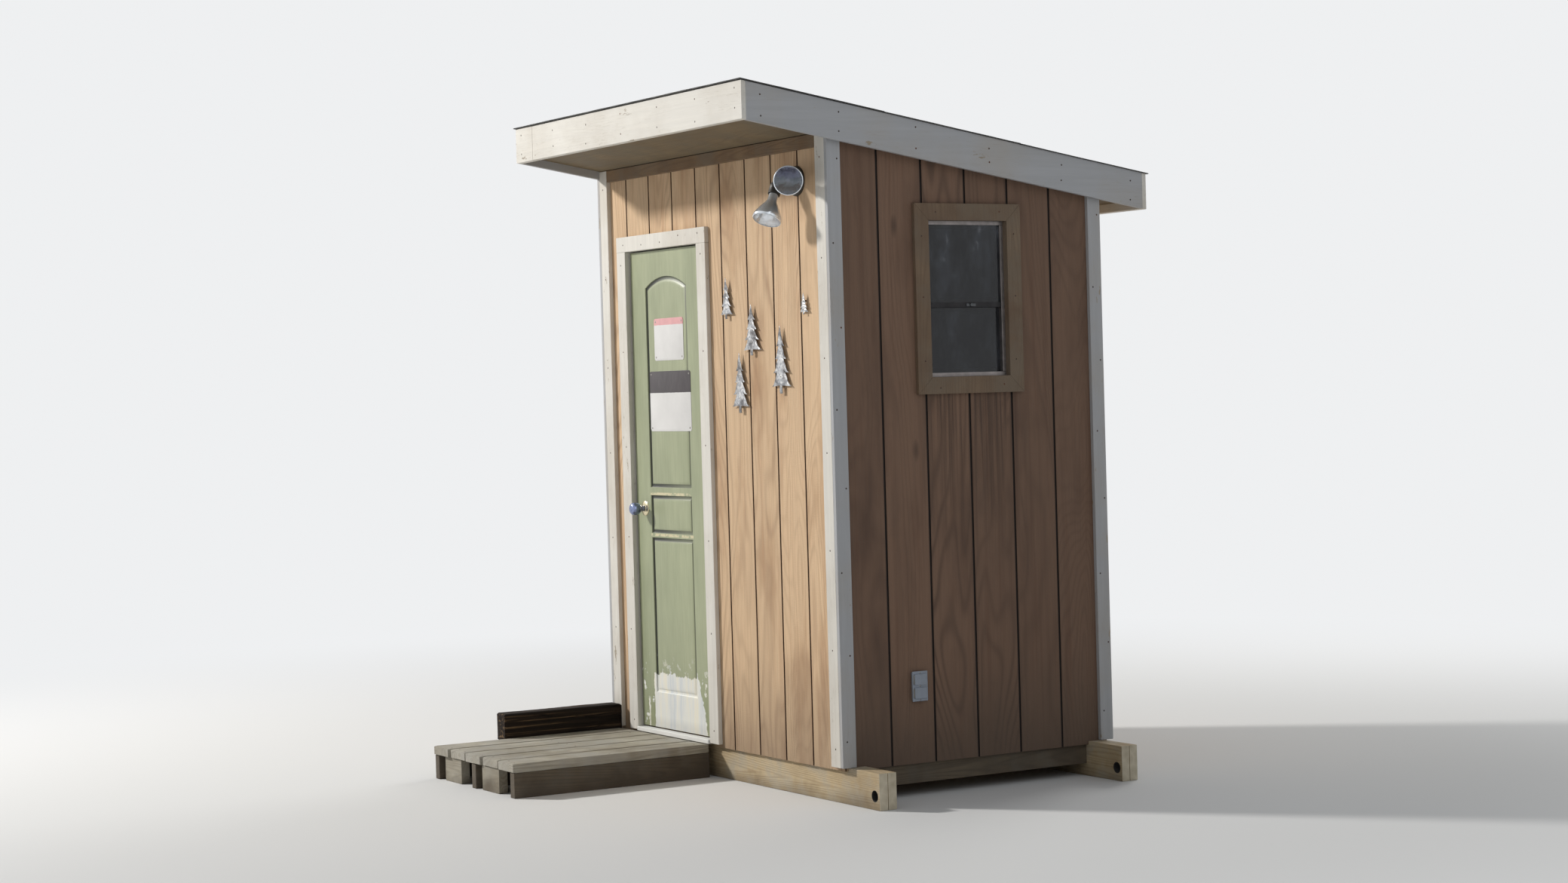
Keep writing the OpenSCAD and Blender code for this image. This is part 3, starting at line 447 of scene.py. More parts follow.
def skid_lumber():
    """Pale lumber, bleached at the sawn ends and painted black inside the tow holes as painted shade."""
    g = Look("skid_lumber")
    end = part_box("skid_front")[1].x
    late, fibre = grain(g, 0, 3)
    blotch = g.noise(3.5, 4.0)
    g.base = g.ramp(g.spread(blotch, 0, 1), (160, 140, 108), (206, 186, 150))
    g.layer(late * 0.4, (140, 114, 80))
    g.shade(fibre, 0.25, 0.75, 0.84, 1.12)
    g.stain((150, 146, 136), g.noise(7.0, 4.0), 0.46, 0.62, 0.5)
    low = g.xyz[2] + g.spread(blotch, -0.03, 0.03)
    g.stain((78, 68, 54), low, 0.06, 0.0, 0.55)
    reach = abs(g.xyz[0])
    sawn = g.ramp(g.cells(30.0), (180, 168, 144), (212, 202, 180))
    g.stain(sawn, reach, end - 0.0015, end - 0.0005)
    # Black disc at each tow hole: painted shade inside the hole
    out, up = reach - (end - TOW_IN), g.xyz[2] - TOW_UP
    away = g.calc("SQRT", out * out + up * up) + g.spread(blotch, -0.001, 0.002)
    g.stain((20, 17, 14), away, 0.0235, 0.0215)
    g.done(g.remap(fibre, 0.2, 0.8, 0.72, 0.92), late * 0.5 + fibre, 0.0008)


def door_paint():
    """Sage paint, with a worn zone low down where pale primer shows."""
    g = Look("door_paint")
    low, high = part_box("door_leaf")
    middle = (high.x - low.x) / 2
    x, y, z = (place - corner for place, corner in zip(g.xyz, low))
    fibre = g.noise((150, 150, 6))
    soft = g.noise((5, 5, 1.6), 4.0)
    g.base = g.ramp(g.remap(soft, 0.3, 0.72), (141, 147, 116), (166, 171, 138))
    g.shade(fibre, 0.25, 0.75, 0.9, 1.07)
    # Painted shade in the mouldings of the outer face, stronger on the left, and a painted highlight on the
    # high edges round the middle panel
    front = y < 0.02
    lee = g.remap(x, middle - 0.1, middle + 0.12, 0.95, 0.6)
    # Dark coves: painted shade, heavier on the left side
    g.layer(g.remap(y, 0.0026, 0.0048) * front * lee, (26, 29, 22))
    # Pale lines on the middle panel's raised edges: painted highlight
    ledge = g.calc("MINIMUM", abs(z - 0.998), abs(z - 0.823))
    painted_highlight = g.remap(ledge, 0.007, 0.004) * (abs(x - middle) < 0.185)
    painted_highlight *= g.remap(g.noise(40.0, 4.0), 0.4, 0.5)
    g.layer(painted_highlight * front, (206, 196, 160))
    # Bare zone with ragged edges, flecks over it, and a thin bare stripe beside it
    rag = g.noise(26.0, 5.0, 0.65)
    top = 0.232 + g.spread(rag, -0.012, 0.016) - z
    right = 0.505 + (0.23 - z) * 0.3 + g.spread(rag, -0.012, 0.012) - x
    left = x - (0.108 + g.spread(rag, -0.006, 0.006))
    bare = g.remap(g.calc("MINIMUM", g.calc("MINIMUM", top, right), left), 0.0, 0.0025)
    flecks = g.remap(rag, 0.6, 0.63) * g.remap(z, 0.32, 0.2)
    aside = abs(x - (0.062 + g.spread(rag, -0.008, 0.008)))
    stripe = g.remap(aside, 0.007, 0.005) * g.remap(z, 0.13, 0.11)
    bare = g.calc("MAXIMUM", bare, g.calc("MAXIMUM", flecks, stripe)) * front
    # Pale primer; its blue-white tone is a painted shade tint and its cream tone a painted sun tint
    primer = g.ramp(g.spread(g.noise((30, 30, 3), 4.0), 0, 1), (206, 211, 214), (226, 226, 219),
                    (234, 228, 208))
    g.layer(bare, primer)
    g.stain((96, 90, 74), z, 0.05, 0.0, 0.3)
    height = fibre * 0.35 - bare * 0.9 + g.noise(120.0) * 0.15
    g.done(g.remap(bare, 0, 1, 0.42, 0.62), height, 0.0005)


def timber_dark_and_shaded():
    """Dark preserved timber, darkened further as painted shade: drying cracks along the grain, bleached
    streaks, pale splinters.
    """
    g = Look("timber_dark_and_shaded")
    late, fibre = grain(g, 1, 12, 20.0)
    wavy = g.noise((30, 2.2, 46), 3.0, 0.55, 0.4)
    streak = g.noise((58, 1.4, 74), 3.0, 0.55)
    g.base = g.ramp(g.remap(streak, 0.36, 0.72), (26, 20, 15), (44, 34, 26), (120, 98, 72),
                    stops=(0, 0.6, 1))
    g.shade(fibre, 0.25, 0.75, 0.7, 1.25)
    crack = g.remap(abs(wavy - 0.5), 0.022, 0.0)
    crack *= g.remap(g.noise((6, 1.4, 9), 2.0, 0.5), 0.44, 0.52)
    g.layer(crack, (8, 6, 5))
    height = fibre * 0.3 + late * 0.15 - crack
    g.done(g.remap(fibre, 0.2, 0.8, 0.7, 0.92), height, 0.004, Specular_IOR_Level=0.15)


# Roof covering: share of the slope at which each lap lies, from the high edge down
LAPS = [1 / 3, 2 / 3]


def mineral_roofing():
    """Mineral granules, tar that bled at the laps, and stains that run down the slope."""
    g = Look("mineral_roofing")
    low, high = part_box("roofing")
    granule = g.split(g.cells(420.0, "Color"))[0]
    share = (g.xyz[1] - low.y) / (high.y - low.y)
    g.base = g.ramp(granule, (44, 44, 45), (70, 70, 70), (122, 120, 116), stops=(0, 0.6, 1))
    for lap, change in zip(LAPS, (1.14, 0.84)):
        g.shade(share > lap, 0, 1, 1.0, change)
    stain = g.noise((16, 0.9, 1), 4.0)
    g.stain((34, 33, 31), stain, 0.5, 0.72, 0.4)
    g.stain((104, 99, 90), g.noise(2.0, 4.0), 0.5, 0.75, 0.4)
    ragged = g.spread(g.noise(22.0), 0.002, 0.016)
    for lap in LAPS:
        past = share - lap
        g.layer((past > -0.001) * (past < ragged * 0.7), (16, 16, 17))
    g.done(0.92, granule, 0.0012)


def window_pane():
    """Dusty glass, tinted dark blue-grey as painted shade of the dark room behind."""
    g = Look("window_pane")
    dust = g.noise((9, 9, 5), 5.0, 0.62)
    g.base = g.ramp(g.remap(dust, 0.42, 0.74), (46, 52, 65), (84, 90, 100), (188, 194, 202),
                    stops=(0, 0.6, 1))
    clear = g.remap(dust, 0.5, 0.74, 0.9, 0.55)
    g.done(g.remap(dust, 0.4, 0.8, 0.03, 0.3), Transmission_Weight=clear, IOR=1.45)


def lamp_mirror():
    """Silvered bowl with soft bright and dark bands across it: painted reflections."""
    g = Look("lamp_mirror")
    low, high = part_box("flood_base")
    middle = (low.z + high.z) / 2
    level = g.xyz[2] + g.spread(g.noise(26.0, 1.0, 0.5, 0.9), -0.011, 0.011)
    # Pale, brown, bright and dark bands: painted reflection
    g.base = g.ramp(g.remap(level, middle - 0.065, middle + 0.055), (226, 228, 230), (206, 192, 176),
                    (168, 150, 134), (246, 248, 246), (204, 210, 212), (232, 228, 246), (104, 98, 120),
                    (240, 238, 250), stops=(0, 0.14, 0.27, 0.38, 0.52, 0.64, 0.78, 0.9))
    g.done(0.12, Metallic=1.0)


def lamp_lens():
    g = Look("lamp_lens")
    haze = g.remap(g.noise(60.0, 3.0, 0.5), 0.3, 0.8, 0.01, 0.06)
    g.base = srgb(238, 241, 244)
    g.done(haze, Transmission_Weight=0.9, IOR=1.45, Alpha=0.24)


def sign_plate(name, band, band_share, bottom, tall):
    """White enamel with a plain faded band at the top, and rub marks."""
    g = Look(name)
    soft = g.noise(9.0, 4.0)
    fine = g.noise((90, 90, 20))
    edge = bottom + tall * (1 - band_share)
    g.base = g.tone((214, 212, 209), g.spread(soft, 0.93, 1.03))
    share = g.remap(g.xyz[2] + g.spread(fine, -0.0006, 0.0006), edge - 0.0008, edge + 0.0008)
    g.layer(share, g.tone(band, g.spread(soft, 0.85, 1.2)))
    g.stain((170, 160, 150), g.noise(70.0, 5.0, 0.7), 0.7, 0.76)
    g.done(g.remap(fine, 0.2, 0.8, 0.28, 0.42), fine, 0.0001)


for make in (zinc, alloy, skid_lumber, door_paint, timber_dark_and_shaded, mineral_roofing, window_pane, lamp_mirror,
             lamp_lens):
    make()

# Every CAD node gets its material here
DRESS = {
    "skid_lumber": "skid_front skid_rear",
    "joist_dark_and_shaded": "floor_joists deck_bearers",
    "deck_block": "deck_blocks",
    "deck_board": "deck_boards",
    "timber_dark_and_shaded": "timber_lower timber_upper",
    "plywood": "floor_panel roof_panel",
    "framing_lumber": "plates_bottom plates_top studs_front_rear studs_sides opening_framing",
    "rafter_lumber": "rafters",
    "siding_front": "siding_front",
    "siding_right": "siding_right",
    "siding_left": "siding_left",
    "siding_rear": "siding_rear",
    "paint_upright": "corner_boards door_jamb door_stop door_casing",
    "paint_return_painted_shade": "corner_returns",
    "paint_across": "fascia_eaves",
    "paint_rake_painted_shade": "fascia_rakes",
    "paint_sill": "threshold",
    "frieze_board": "frieze_boards",
    "soffit_plywood_shaded": "soffits",
    "mineral_roofing": "roofing",
    "door_paint": "door_leaf",
    "dull_steel": "hinge_frames hinge_leaves",
    "rose_brass": "knob_roses",
    "knob_steel_painted_sky": "door_knob",
    "outlet_shell": "door_signs outlet_box",
    "window_board_shaded": "window_jamb window_casing",
    "window_alloy": "window_frame",
    "window_pane": "window_glass",
    "lamp_enamel": "flood_base flood_holders",
    "lamp_silver": "flood_lamps",
    "tree_zinc": "metal_trees",
}
for key, nodes in DRESS.items():
    for node in nodes.split():
        NODES[node].data.materials.clear()
        NODES[node].data.materials.append(mats[key])


def round_edges(obj, width, angle):
    mod = obj.modifiers.new("round_off", "BEVEL")
    mod.width = width
    mod.segments = 2
    mod.limit_method = "ANGLE"
    mod.angle_limit = math.radians(angle)


# Worn, slightly rounded edges, in millimetres
SOFTENED = {
    3.0: "skid_front skid_rear",
    2.5: "threshold",
    2.0: "deck_bearers deck_blocks",
    1.8: "corner_boards corner_returns fascia_eaves fascia_rakes door_casing window_casing",
    1.5: "frieze_boards",
    1.0: "door_jamb door_stop window_jamb",
    0.8: "window_frame",
}
for width, nodes in SOFTENED.items():
    for node in nodes.split():
        weld = NODES[node].modifiers.new("weld", "WELD")
        weld.merge_threshold = 0.00002
        round_edges(NODES[node], width / 1000, 50)


def circle(radius, height, count, swell=None):
    """Ring of points round +Z."""
    ring = []
    for i in range(count):
        a = math.tau * i / count
        reach = radius * (swell(a, height) if swell else 1)
        ring.append((reach * math.cos(a), reach * math.sin(a), height))
    return ring


class Shape:
    """Collects faces in the building's own frame and turns them into one piece."""

    def __init__(self):
        self.verts = []
        self.faces = []
        self.tags = []

    def put(self, verts, faces, tag=0, at=None):
        base = len(self.verts)
        self.verts += [at @ Vector(v) if at else Vector(v) for v in verts]
        self.faces += [[base + i for i in f] for f in faces]
        self.tags += [tag] * len(faces)

    def box(self, low, high, tag=0):
        (x0, y0, z0), (x1, y1, z1) = low, high
        corners = [(x, y, z) for x in (x0, x1) for y in (y0, y1) for z in (z0, z1)]
        sides = [(0, 1, 3, 2), (4, 6, 7, 5), (0, 4, 5, 1), (2, 3, 7, 6), (0, 2, 6, 4), (1, 5, 7, 3)]
        self.put(corners, sides, tag)

    def border(self, y0, z0, y1, z1, wide, x0, x1, tag=0):
        """Four bars round a rectangle that stands across x."""
        for a, b in (((y0, z0), (y1, z0 + wide)), ((y0, z1 - wide), (y1, z1)),
                     ((y0, z0 + wide), (y0 + wide, z1 - wide)), ((y1 - wide, z0 + wide), (y1, z1 - wide))):
            self.box((x0, *a), (x1, *b), tag)

    def rows(self, rings, tag=0, at=None, closed=True, caps=False):
        """Skin over rings of points, each ring with as many points as the next."""
        count = len(rings[0])
        verts = [p for ring in rings for p in ring]
        faces = []
        for i in range(len(rings) - 1):
            for j in range(count if closed else count - 1):
                k = (j + 1) % count
                faces.append((i * count + j, i * count + k, (i + 1) * count + k, (i + 1) * count + j))
        if caps:
            faces.append(tuple(range(count)))
            faces.append(tuple(range(len(verts) - 1, len(verts) - count - 1, -1)))
        self.put(verts, faces, tag, at)

    def lathe(self, profile, at, n=40, tag=0, swell=None):
        """Turned form: profile is a list of (radius, height) along +Z of at."""
        self.rows([circle(r, h, n, swell) for r, h in profile], tag, at)

    def piece(self, name, slot, materials, replaced="", body="shed", bevel=0.0, smooth=40, thick=0.0):
        mesh = bpy.data.meshes.new(name)
        mesh.from_pydata([tuple(v) for v in self.verts], [], self.faces)
        for key in materials.split():
            mesh.materials.append(mats[key])
        mesh.polygons.foreach_set("material_index", self.tags)
        work = bmesh.new()
        work.from_mesh(mesh)
        bmesh.ops.remove_doubles(work, verts=work.verts, dist=1e-6)
        bmesh.ops.dissolve_degenerate(work, edges=work.edges, dist=1e-7)
        bmesh.ops.recalc_face_normals(work, faces=work.faces)
        for face in work.faces:
            face.smooth = True
        work.to_mesh(mesh)
        work.free()
        mesh.set_sharp_from_angle(angle=math.radians(smooth))
        obj = placed(name, mesh)
        if thick:
            solid = obj.modifiers.new("thickness", "SOLIDIFY")
            solid.thickness = thick
            solid.offset = 0
        if bevel:
            round_edges(obj, bevel, 60)
        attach(obj, body)
        if replaced:
            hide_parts(replaced)


def facing(point, direction, axis="Z"):
    """Matrix that puts an axis along a direction at a point."""
    turn = Vector(direction).normalized().to_track_quat(axis, "Y").to_matrix().to_4x4()
    return Matrix.Translation(Vector(point)) @ turn


def rounded(a0, b0, a1, b1, radius, steps):
    """Outline of a rectangle with round corners: points, each with the way that it faces."""
    outline = []
    left, right, bottom, top = a0 + radius, a1 - radius, b0 + radius, b1 - radius
    for a, b, start in ((right, bottom, -90), (right, top, 0), (left, top, 90), (left, bottom, 180)):
        for i in range(steps + 1):
            angle = math.radians(start + 90 * i / steps)
            na, nb = math.cos(angle), math.sin(angle)
            outline.append((a + radius * na, b + radius * nb, na, nb))
    return outline


def mm(*pairs):
    """Pairs of lengths given in millimetres, in metres."""
    return [(a / 1000, b / 1000) for a, b in pairs]


# Door leaf with moulded panels on both faces: each panel's foot, height and rise of its arch
PANEL_IN = 0.126
PANELS = [(0.150, 0.662, 0.0), (0.830, 0.162, 0.0), (1.025, 0.894, 0.046)]
ARCH_STEPS = 28
# Moulding round a panel: distance inward, and depth
MOULD = mm((0, 0), (0, 0.8), (0.7, 1.2), (1.2, 3.3), (1.9, 4.5), (3.2, 5.5), (6, 6), (11, 6), (12.8, 5.2),
           (15, 3.9), (18, 2.6), (21.5, 1.5), (25.5, 0.8), (30, 0.3))


def panel_ring(width, z0, height, rise, inset):
    x0, x1 = PANEL_IN + inset, width - PANEL_IN - inset
    bottom, top = z0 + inset, z0 + height - inset
    if not rise:
        return [(x0, bottom), (x1, bottom), (x1, top), (x0, top)]
    span = width - 2 * PANEL_IN
    radius = (span ** 2 / 4 + rise * rise) / (2 * rise) - inset
    half = math.asin((x1 - x0) / 2 / radius)
    ring = [(x0, bottom), (x1, bottom)]
    for a in evenly(half, -half, ARCH_STEPS + 1):
        ring.append(((x0 + x1) / 2 + radius * math.sin(a), top - radius + radius * math.cos(a)))
    return ring


def make_door():
    low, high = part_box("door_leaf")
    width, tall = high.x - low.x, high.z - low.z
    shape = Shape()
    for face_y, inward in ((low.y, 1), (high.y, -1)):
        loops = [[(0, 0), (width, 0), (width, tall), (0, tall)]]
        loops += [panel_ring(width, *panel, 0.0) for panel in PANELS]
        tris = geometry.tessellate_polygon([[Vector((x, z, 0)) for x, z in loop] for loop in loops])
        flat = [(low.x + x, face_y, low.z + z) for loop in loops for x, z in loop]
        shape.put(flat, [tuple(t) for t in tris])
        for panel in PANELS:
            rings = []
            for inset, sink in MOULD:
                ring = panel_ring(width, *panel, inset)
                rings.append([(low.x + x, face_y + inward * sink, low.z + z) for x, z in ring])
            shape.rows(rings)
            shape.put(rings[-1], [tuple(range(len(rings[-1])))])
    edge = [(low.x, low.z), (high.x, low.z), (high.x, high.z), (low.x, high.z)]
    shape.rows([[(x, y, z) for x, z in edge] for y in (low.y, high.y)])
    shape.piece("panelled_door", "door_paint", "door_paint", "door_leaf", "door", smooth=28)


# Knob, its spindle and the stepped roses, each profile as radius and height
BALL = mm((0, 0), (6, 0.3), (10, 0.6), (10.5, 1.6), (15, 1.9), (20.5, 4.5), (25, 10), (26.8, 17), (27, 23),
          (26.2, 30), (23.5, 37.5), (19, 44), (15, 48), (12.5, 52), (11.8, 56), (11.8, 64))
ROSE = mm((12.2, -7.5), (15, -7.8), (16.5, -6.2), (23, -5.5), (26.2, -4), (30, -3.2), (31.5, -2), (31.8, 0))
SPINDLE_R = 0.0058


def make_knob():
    low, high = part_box("door_knob")
    leaf_low, leaf_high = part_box("door_leaf")
    cx, cz = (low.x + high.x) / 2, (low.z + high.z) / 2
    knob = Shape()
    plates = Shape()
    for y, leaf_y, inward in ((low.y, leaf_low.y, TO_REAR), (high.y, leaf_high.y, TO_FRONT)):
        knob.lathe(BALL, facing((cx, y, cz), inward), 48)
        plates.lathe(ROSE, facing((cx, leaf_y, cz), inward), 56)
    spindle = [(SPINDLE_R, 0.0), (SPINDLE_R, high.y - low.y - 0.03)]
    knob.lathe(spindle, facing((cx, low.y + 0.015, cz), TO_REAR), 24)
    knob.piece("turned_knob", "knob_metal", "knob_steel_painted_sky", "door_knob", "knob", smooth=50)
    plates.piece("stepped_roses", "rose_brass", "rose_brass", "knob_roses", "door")


# Plain plates screwed to the door: name, width, height, foot, the band's colour and share, node replaced
SIGNS = [("sign_upper", 0.254, 0.178, 1.563, (206, 150, 150), 0.16, "door_signs"),
         ("sign_lower", 0.356, 0.254, 1.264, (52, 44, 46), 0.36, "")]
SIGN_ASIDE = 0.020
SIGN_CORNER = 0.012
SIGN_SCREW_IN = 0.014
SUNK_SCREW = mm((0, 0), (2.2, -0.1), (3.8, -0.4), (4.4, -1))


def make_signs():
    low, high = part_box("door_leaf")
    middle = (low.x + high.x) / 2 + SIGN_ASIDE
    for name, width, tall, lift, band, share, replaced in SIGNS:
        z0 = low.z + lift
        sign_plate(name, band, share, z0, tall)
        shape = Shape()
        outline = rounded(-width / 2, -tall / 2, width / 2, tall / 2, SIGN_CORNER, 6)
        rings = []
        for inset, out in ((0.0, 0.0001), (0.0, 0.0011), (0.0008, 0.0014)):
            k, m = 1 - inset / (width / 2), 1 - inset / (tall / 2)
            centre = z0 + tall / 2
            rings.append([(middle + x * k, low.y - out, centre + z * m) for x, z, _, _ in outline])
        shape.rows(rings, caps=True)
        for sx in (-1, 1):
            for dz in (SIGN_SCREW_IN, tall - SIGN_SCREW_IN):
                place = (middle + sx * (width / 2 - SIGN_SCREW_IN), low.y - 0.0022, z0 + dz)
                shape.lathe(SUNK_SCREW, facing(place, TO_FRONT), 16, 1)
        shape.piece(name + "_plate", "sign_plate", name + " dull_steel", replaced, "door", smooth=30)


# Stamped metal trees on short pegs: place from the right, height above the siding's foot, width, height
TREES = [(0.788, 1.752, 0.097, 0.167), (0.592, 1.600, 0.137, 0.204), (0.372, 1.445, 0.143, 0.267),
         (0.695, 1.372, 0.136, 0.242), (0.188, 1.748, 0.065, 0.084)]
# Tiers of a tree: share of the height at foot and top, half width at foot and top
TIERS = [(0.12, 0.33, 0.5, 0.2), (0.32, 0.53, 0.4, 0.14), (0.52, 0.72, 0.3, 0.08), (0.71, 1.0, 0.2, 0.0)]
TRUNK = [(0.0, 0.075, 0.0), (0.06, 0.07, 0.0), (0.125, 0.075, 0.0)]
TREE_OFF = 0.012
PEG = mm((0, 0), (1.6, -0.2), (3, 0.6), (3, 13.2))


def make_trees():
    shape = Shape()
    for number, (x_in, z_up, width, tall) in enumerate(TREES):
        cx = X_RIGHT - x_in
        z0 = Z_SIDING + z_up
        levels = list(TRUNK)
        for t0, t1, w0, w1 in TIERS:
            for s in evenly(0, 1, 9):
                wave = 0.012 * math.sin(9 * s + number) * (1 - s)
                half = max(0.004, w0 + (w1 - w0) * s ** 0.7 + wave)
                levels.append((t0 + (t1 - t0) * s, half, 0.018 * (1 - s)))
        rings = []
        for t, half, droop in levels:
            ring = []
            for share in (-1, -0.72, -0.4, 0, 0.4, 0.72, 1):
                side = abs(share)
                fold = 0.0036 * side * half * 2 + 0.0008 * math.sin(46 * t + 2.2 * side) * side
                y = Y_FRONT - TREE_OFF - 0.0012 + fold
                ring.append((cx + share * half * width, y, z0 + (t - droop * side ** 2) * tall))
            rings.append(ring)
        shape.rows(rings, closed=False)
        for k in (0.25, 0.62):
            shape.lathe(PEG, facing((cx, Y_FRONT - TREE_OFF - 0.0022, z0 + tall * k), TO_REAR), 16, 1)
    shape.piece("stamped_trees", "tree_metal", "tree_zinc dull_steel", "metal_trees", thick=0.0012)


# Twin floodlight: pivots, each lamp's side, tilt and turn, and every profile as radius and height
PIVOT_OUT = 0.064
PIVOT_HALF = 0.040
AIMS = [(1, 95, -31), (-1, 153, -67)]
HOLDER = 0.058
DOME = mm((0, 38.5), (10, 38.2), (20, 37.4), (30, 35), (36, 30), (40, 22), (43, 16.5), (49, 13.5),
          (55.5, 11), (57.8, 7), (58, 0.4))
SEAL = mm((57.2, 0.4), (57.9, 1), (57.9, 3.4), (57.2, 4))
BOSS = mm((19, 0), (18.5, 12), (17, 20), (15, 25.5))
LOCKNUT = mm((15, 25.5), (16.5, 26.2), (16.5, 30.2), (13, 31.2), (10.5, 31.2))
DOME_SCREW = mm((4.4, -4), (4.4, 0.6), (3, 1.6), (0, 2))
STEM = mm((8.5, -6), (8.5, 10), (11, 14), (11, 22))
SOCKET = mm((0, -19), (10, -16.5), (16.5, -10), (18.8, -1), (17.8, 6), (19, 10), (22.2, 13.5), (23.8, 18),
            (24, 30))
SLEEVE = mm((24, 30), (23.6, 31), (23.6, 50), (24, 51.2), (24, 57.2), (21.5, 57.8), (20, 56))
SHELL = mm((0, 0), (18.5, 0.4), (19, 12), (19.5, 29), (25, 39), (32, 50.5), (40, 63), (47, 76.5), (53, 89),
           (55.5, 95.5), (56.6, 99), (57, 103), (57, 107), (56, 108.8), (54.5, 109.2))
BULB = mm((0, 80), (4, 79.5), (6.8, 76), (7.2, 68), (6.2, 60), (6.2, 46))
RIM = mm((53.5, 106), (56.6, 106), (56.6, 110.5), (54.8, 112.5), (53.5, 111.8))
BOWL_FOOT, BOWL_DEEP, BOWL_R = 0.046, 0.0632, 0.0545
LENS_R = 0.0540


def sleeve_ribs(a, h):
    return 1 + (0.018 if 0.0305 < h < 0.0505 else 0.0) * (math.sin(15 * a) > 0)


def bowl_facets(a, h):
    return 1 + 0.008 * math.sin(24 * a) * (h - BOWL_FOOT) / BOWL_DEEP


def lens_flutes(a, h):
    return 1 + 0.008 * math.sin(32 * a)


def make_floodlight():
    low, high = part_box("flood_base")
    cx, cz = (low.x + high.x) / 2, (low.z + high.z) / 2
    plate, holders, lamps, lenses = Shape(), Shape(), Shape(), Shape()
    out = facing((cx, Y_FRONT, cz), TO_FRONT)
    plate.lathe(DOME, out, 64)
    plate.lathe(SEAL, out, 64, 1)
    for side in (-1, 1):
        boss = facing((cx + side * PIVOT_HALF, Y_FRONT - 0.012, cz), TO_FRONT)
        plate.lathe(BOSS, boss, 40)
        plate.lathe(LOCKNUT, boss, 6, 2)
    for dz in (-0.036, 0.036):
        plate.lathe(DOME_SCREW, facing((cx, Y_FRONT - 0.0165, cz + dz), TO_FRONT), 20, 2)
    bowl = []
    for i in range(17):
        s = i / 16
        step = 0.0011 * (i % 2) * (1 - s)
        bowl.append((BOWL_R * s ** 0.62, BOWL_FOOT + BOWL_DEEP * s ** 1.5 + step))
    glass = []
    for i in range(33):
        r = LENS_R * i / 32
        ridge = 0.0009 * math.sin(i * math.pi / 2) ** 2 if i < 30 else 0.0
        glass.append((r, 0.1172 - 0.0062 * (r / LENS_R) ** 2 - ridge))
    for side, tilt, turn in AIMS:
        pivot = Vector((cx + side * PIVOT_HALF, Y_FRONT - PIVOT_OUT, cz))
        at = (Matrix.Translation(pivot) @ Matrix.Rotation(math.radians(turn), 4, "Z")
              @ Matrix.Rotation(math.radians(tilt), 4, "Y"))
        holders.lathe(STEM, facing((pivot.x, Y_FRONT - 0.044, pivot.z), TO_FRONT), 28)
        holders.lathe(SOCKET, at, 40)
        holders.lathe(SLEEVE, at, 60, 0, sleeve_ribs)
        top = at @ Matrix.Translation((0, 0, HOLDER))
        lamps.lathe(SHELL, top, 72)
        lamps.lathe(bowl, top, 96, 3, bowl_facets)
        lamps.lathe(BULB, top, 32, 1)
        lamps.lathe(RIM, top, 72, 2)
        lenses.lathe(glass, top, 96, 0, lens_flutes)
    plate.piece("flood_plate", "lamp_metal", "lamp_enamel dark_gasket dull_steel", "flood_base", smooth=38)
    holders.piece("flood_sockets", "lamp_metal", "lamp_enamel", "flood_holders")
    lamps.piece("flood_reflectors", "lamp_glass", "lamp_silver outlet_shell lamp_silver lamp_mirror",
                "flood_lamps")
    lenses.piece("flood_lenses", "lamp_glass", "lamp_lens", smooth=22, thick=0.0012)


# Outlet box with two flip lids and three screws
LID_HALF, LID_SHIFT = 0.021, 0.026
OUTLET_SCREW = mm((3.6, -2), (3.6, 0.6), (2.5, 1.4), (0, 1.7))


def make_outlet():
    low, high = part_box("outlet_box")
    cy, cz = (low.y + high.y) / 2, (low.z + high.z) / 2
    face = high.x
    shape = Shape()
    for x0, x1, margin, tag in ((low.x, face - 0.013, 0.004, 0), (face - 0.014, face - 0.012, 0.001, 1),
                                (face - 0.0125, face - 0.009, 0.0, 0)):
        shape.box((x0, low.y + margin, low.z + margin), (x1, high.y - margin, high.z - margin), tag)
    for z in (cz - LID_SHIFT, cz + LID_SHIFT):
        shape.box((face - 0.010, low.y + 0.008, z - LID_HALF), (face - 0.003, high.y - 0.008, z + LID_HALF))
        shape.box((face - 0.010, low.y + 0.004, z - 0.017), (face - 0.006, low.y + 0.009, z + 0.017), 2)
    shape.piece("outlet_cover", "outlet_plastic", "outlet_shell dark_gasket dull_steel", "outlet_box",
                bevel=0.0022)
    for number, dz in enumerate((-0.052, 0.0, 0.052), 1):
        screw = Shape()
        screw.lathe(OUTLET_SCREW, facing((face - 0.010, cy, cz + dz), TO_RIGHT), 20)
        screw.piece("outlet_screw_%d" % number, "hinge_steel", "dull_steel")


# Sash bars, seals and latch of the window
RAIL_SHARE = 0.46
SASH_IN = 0.016
SASH_WIDE = 0.014
SEAL_WIDE = 0.002
LATCH_CAP = mm((0, 7.5), (6, 6.8), (7.5, 4.5), (7.8, 0))


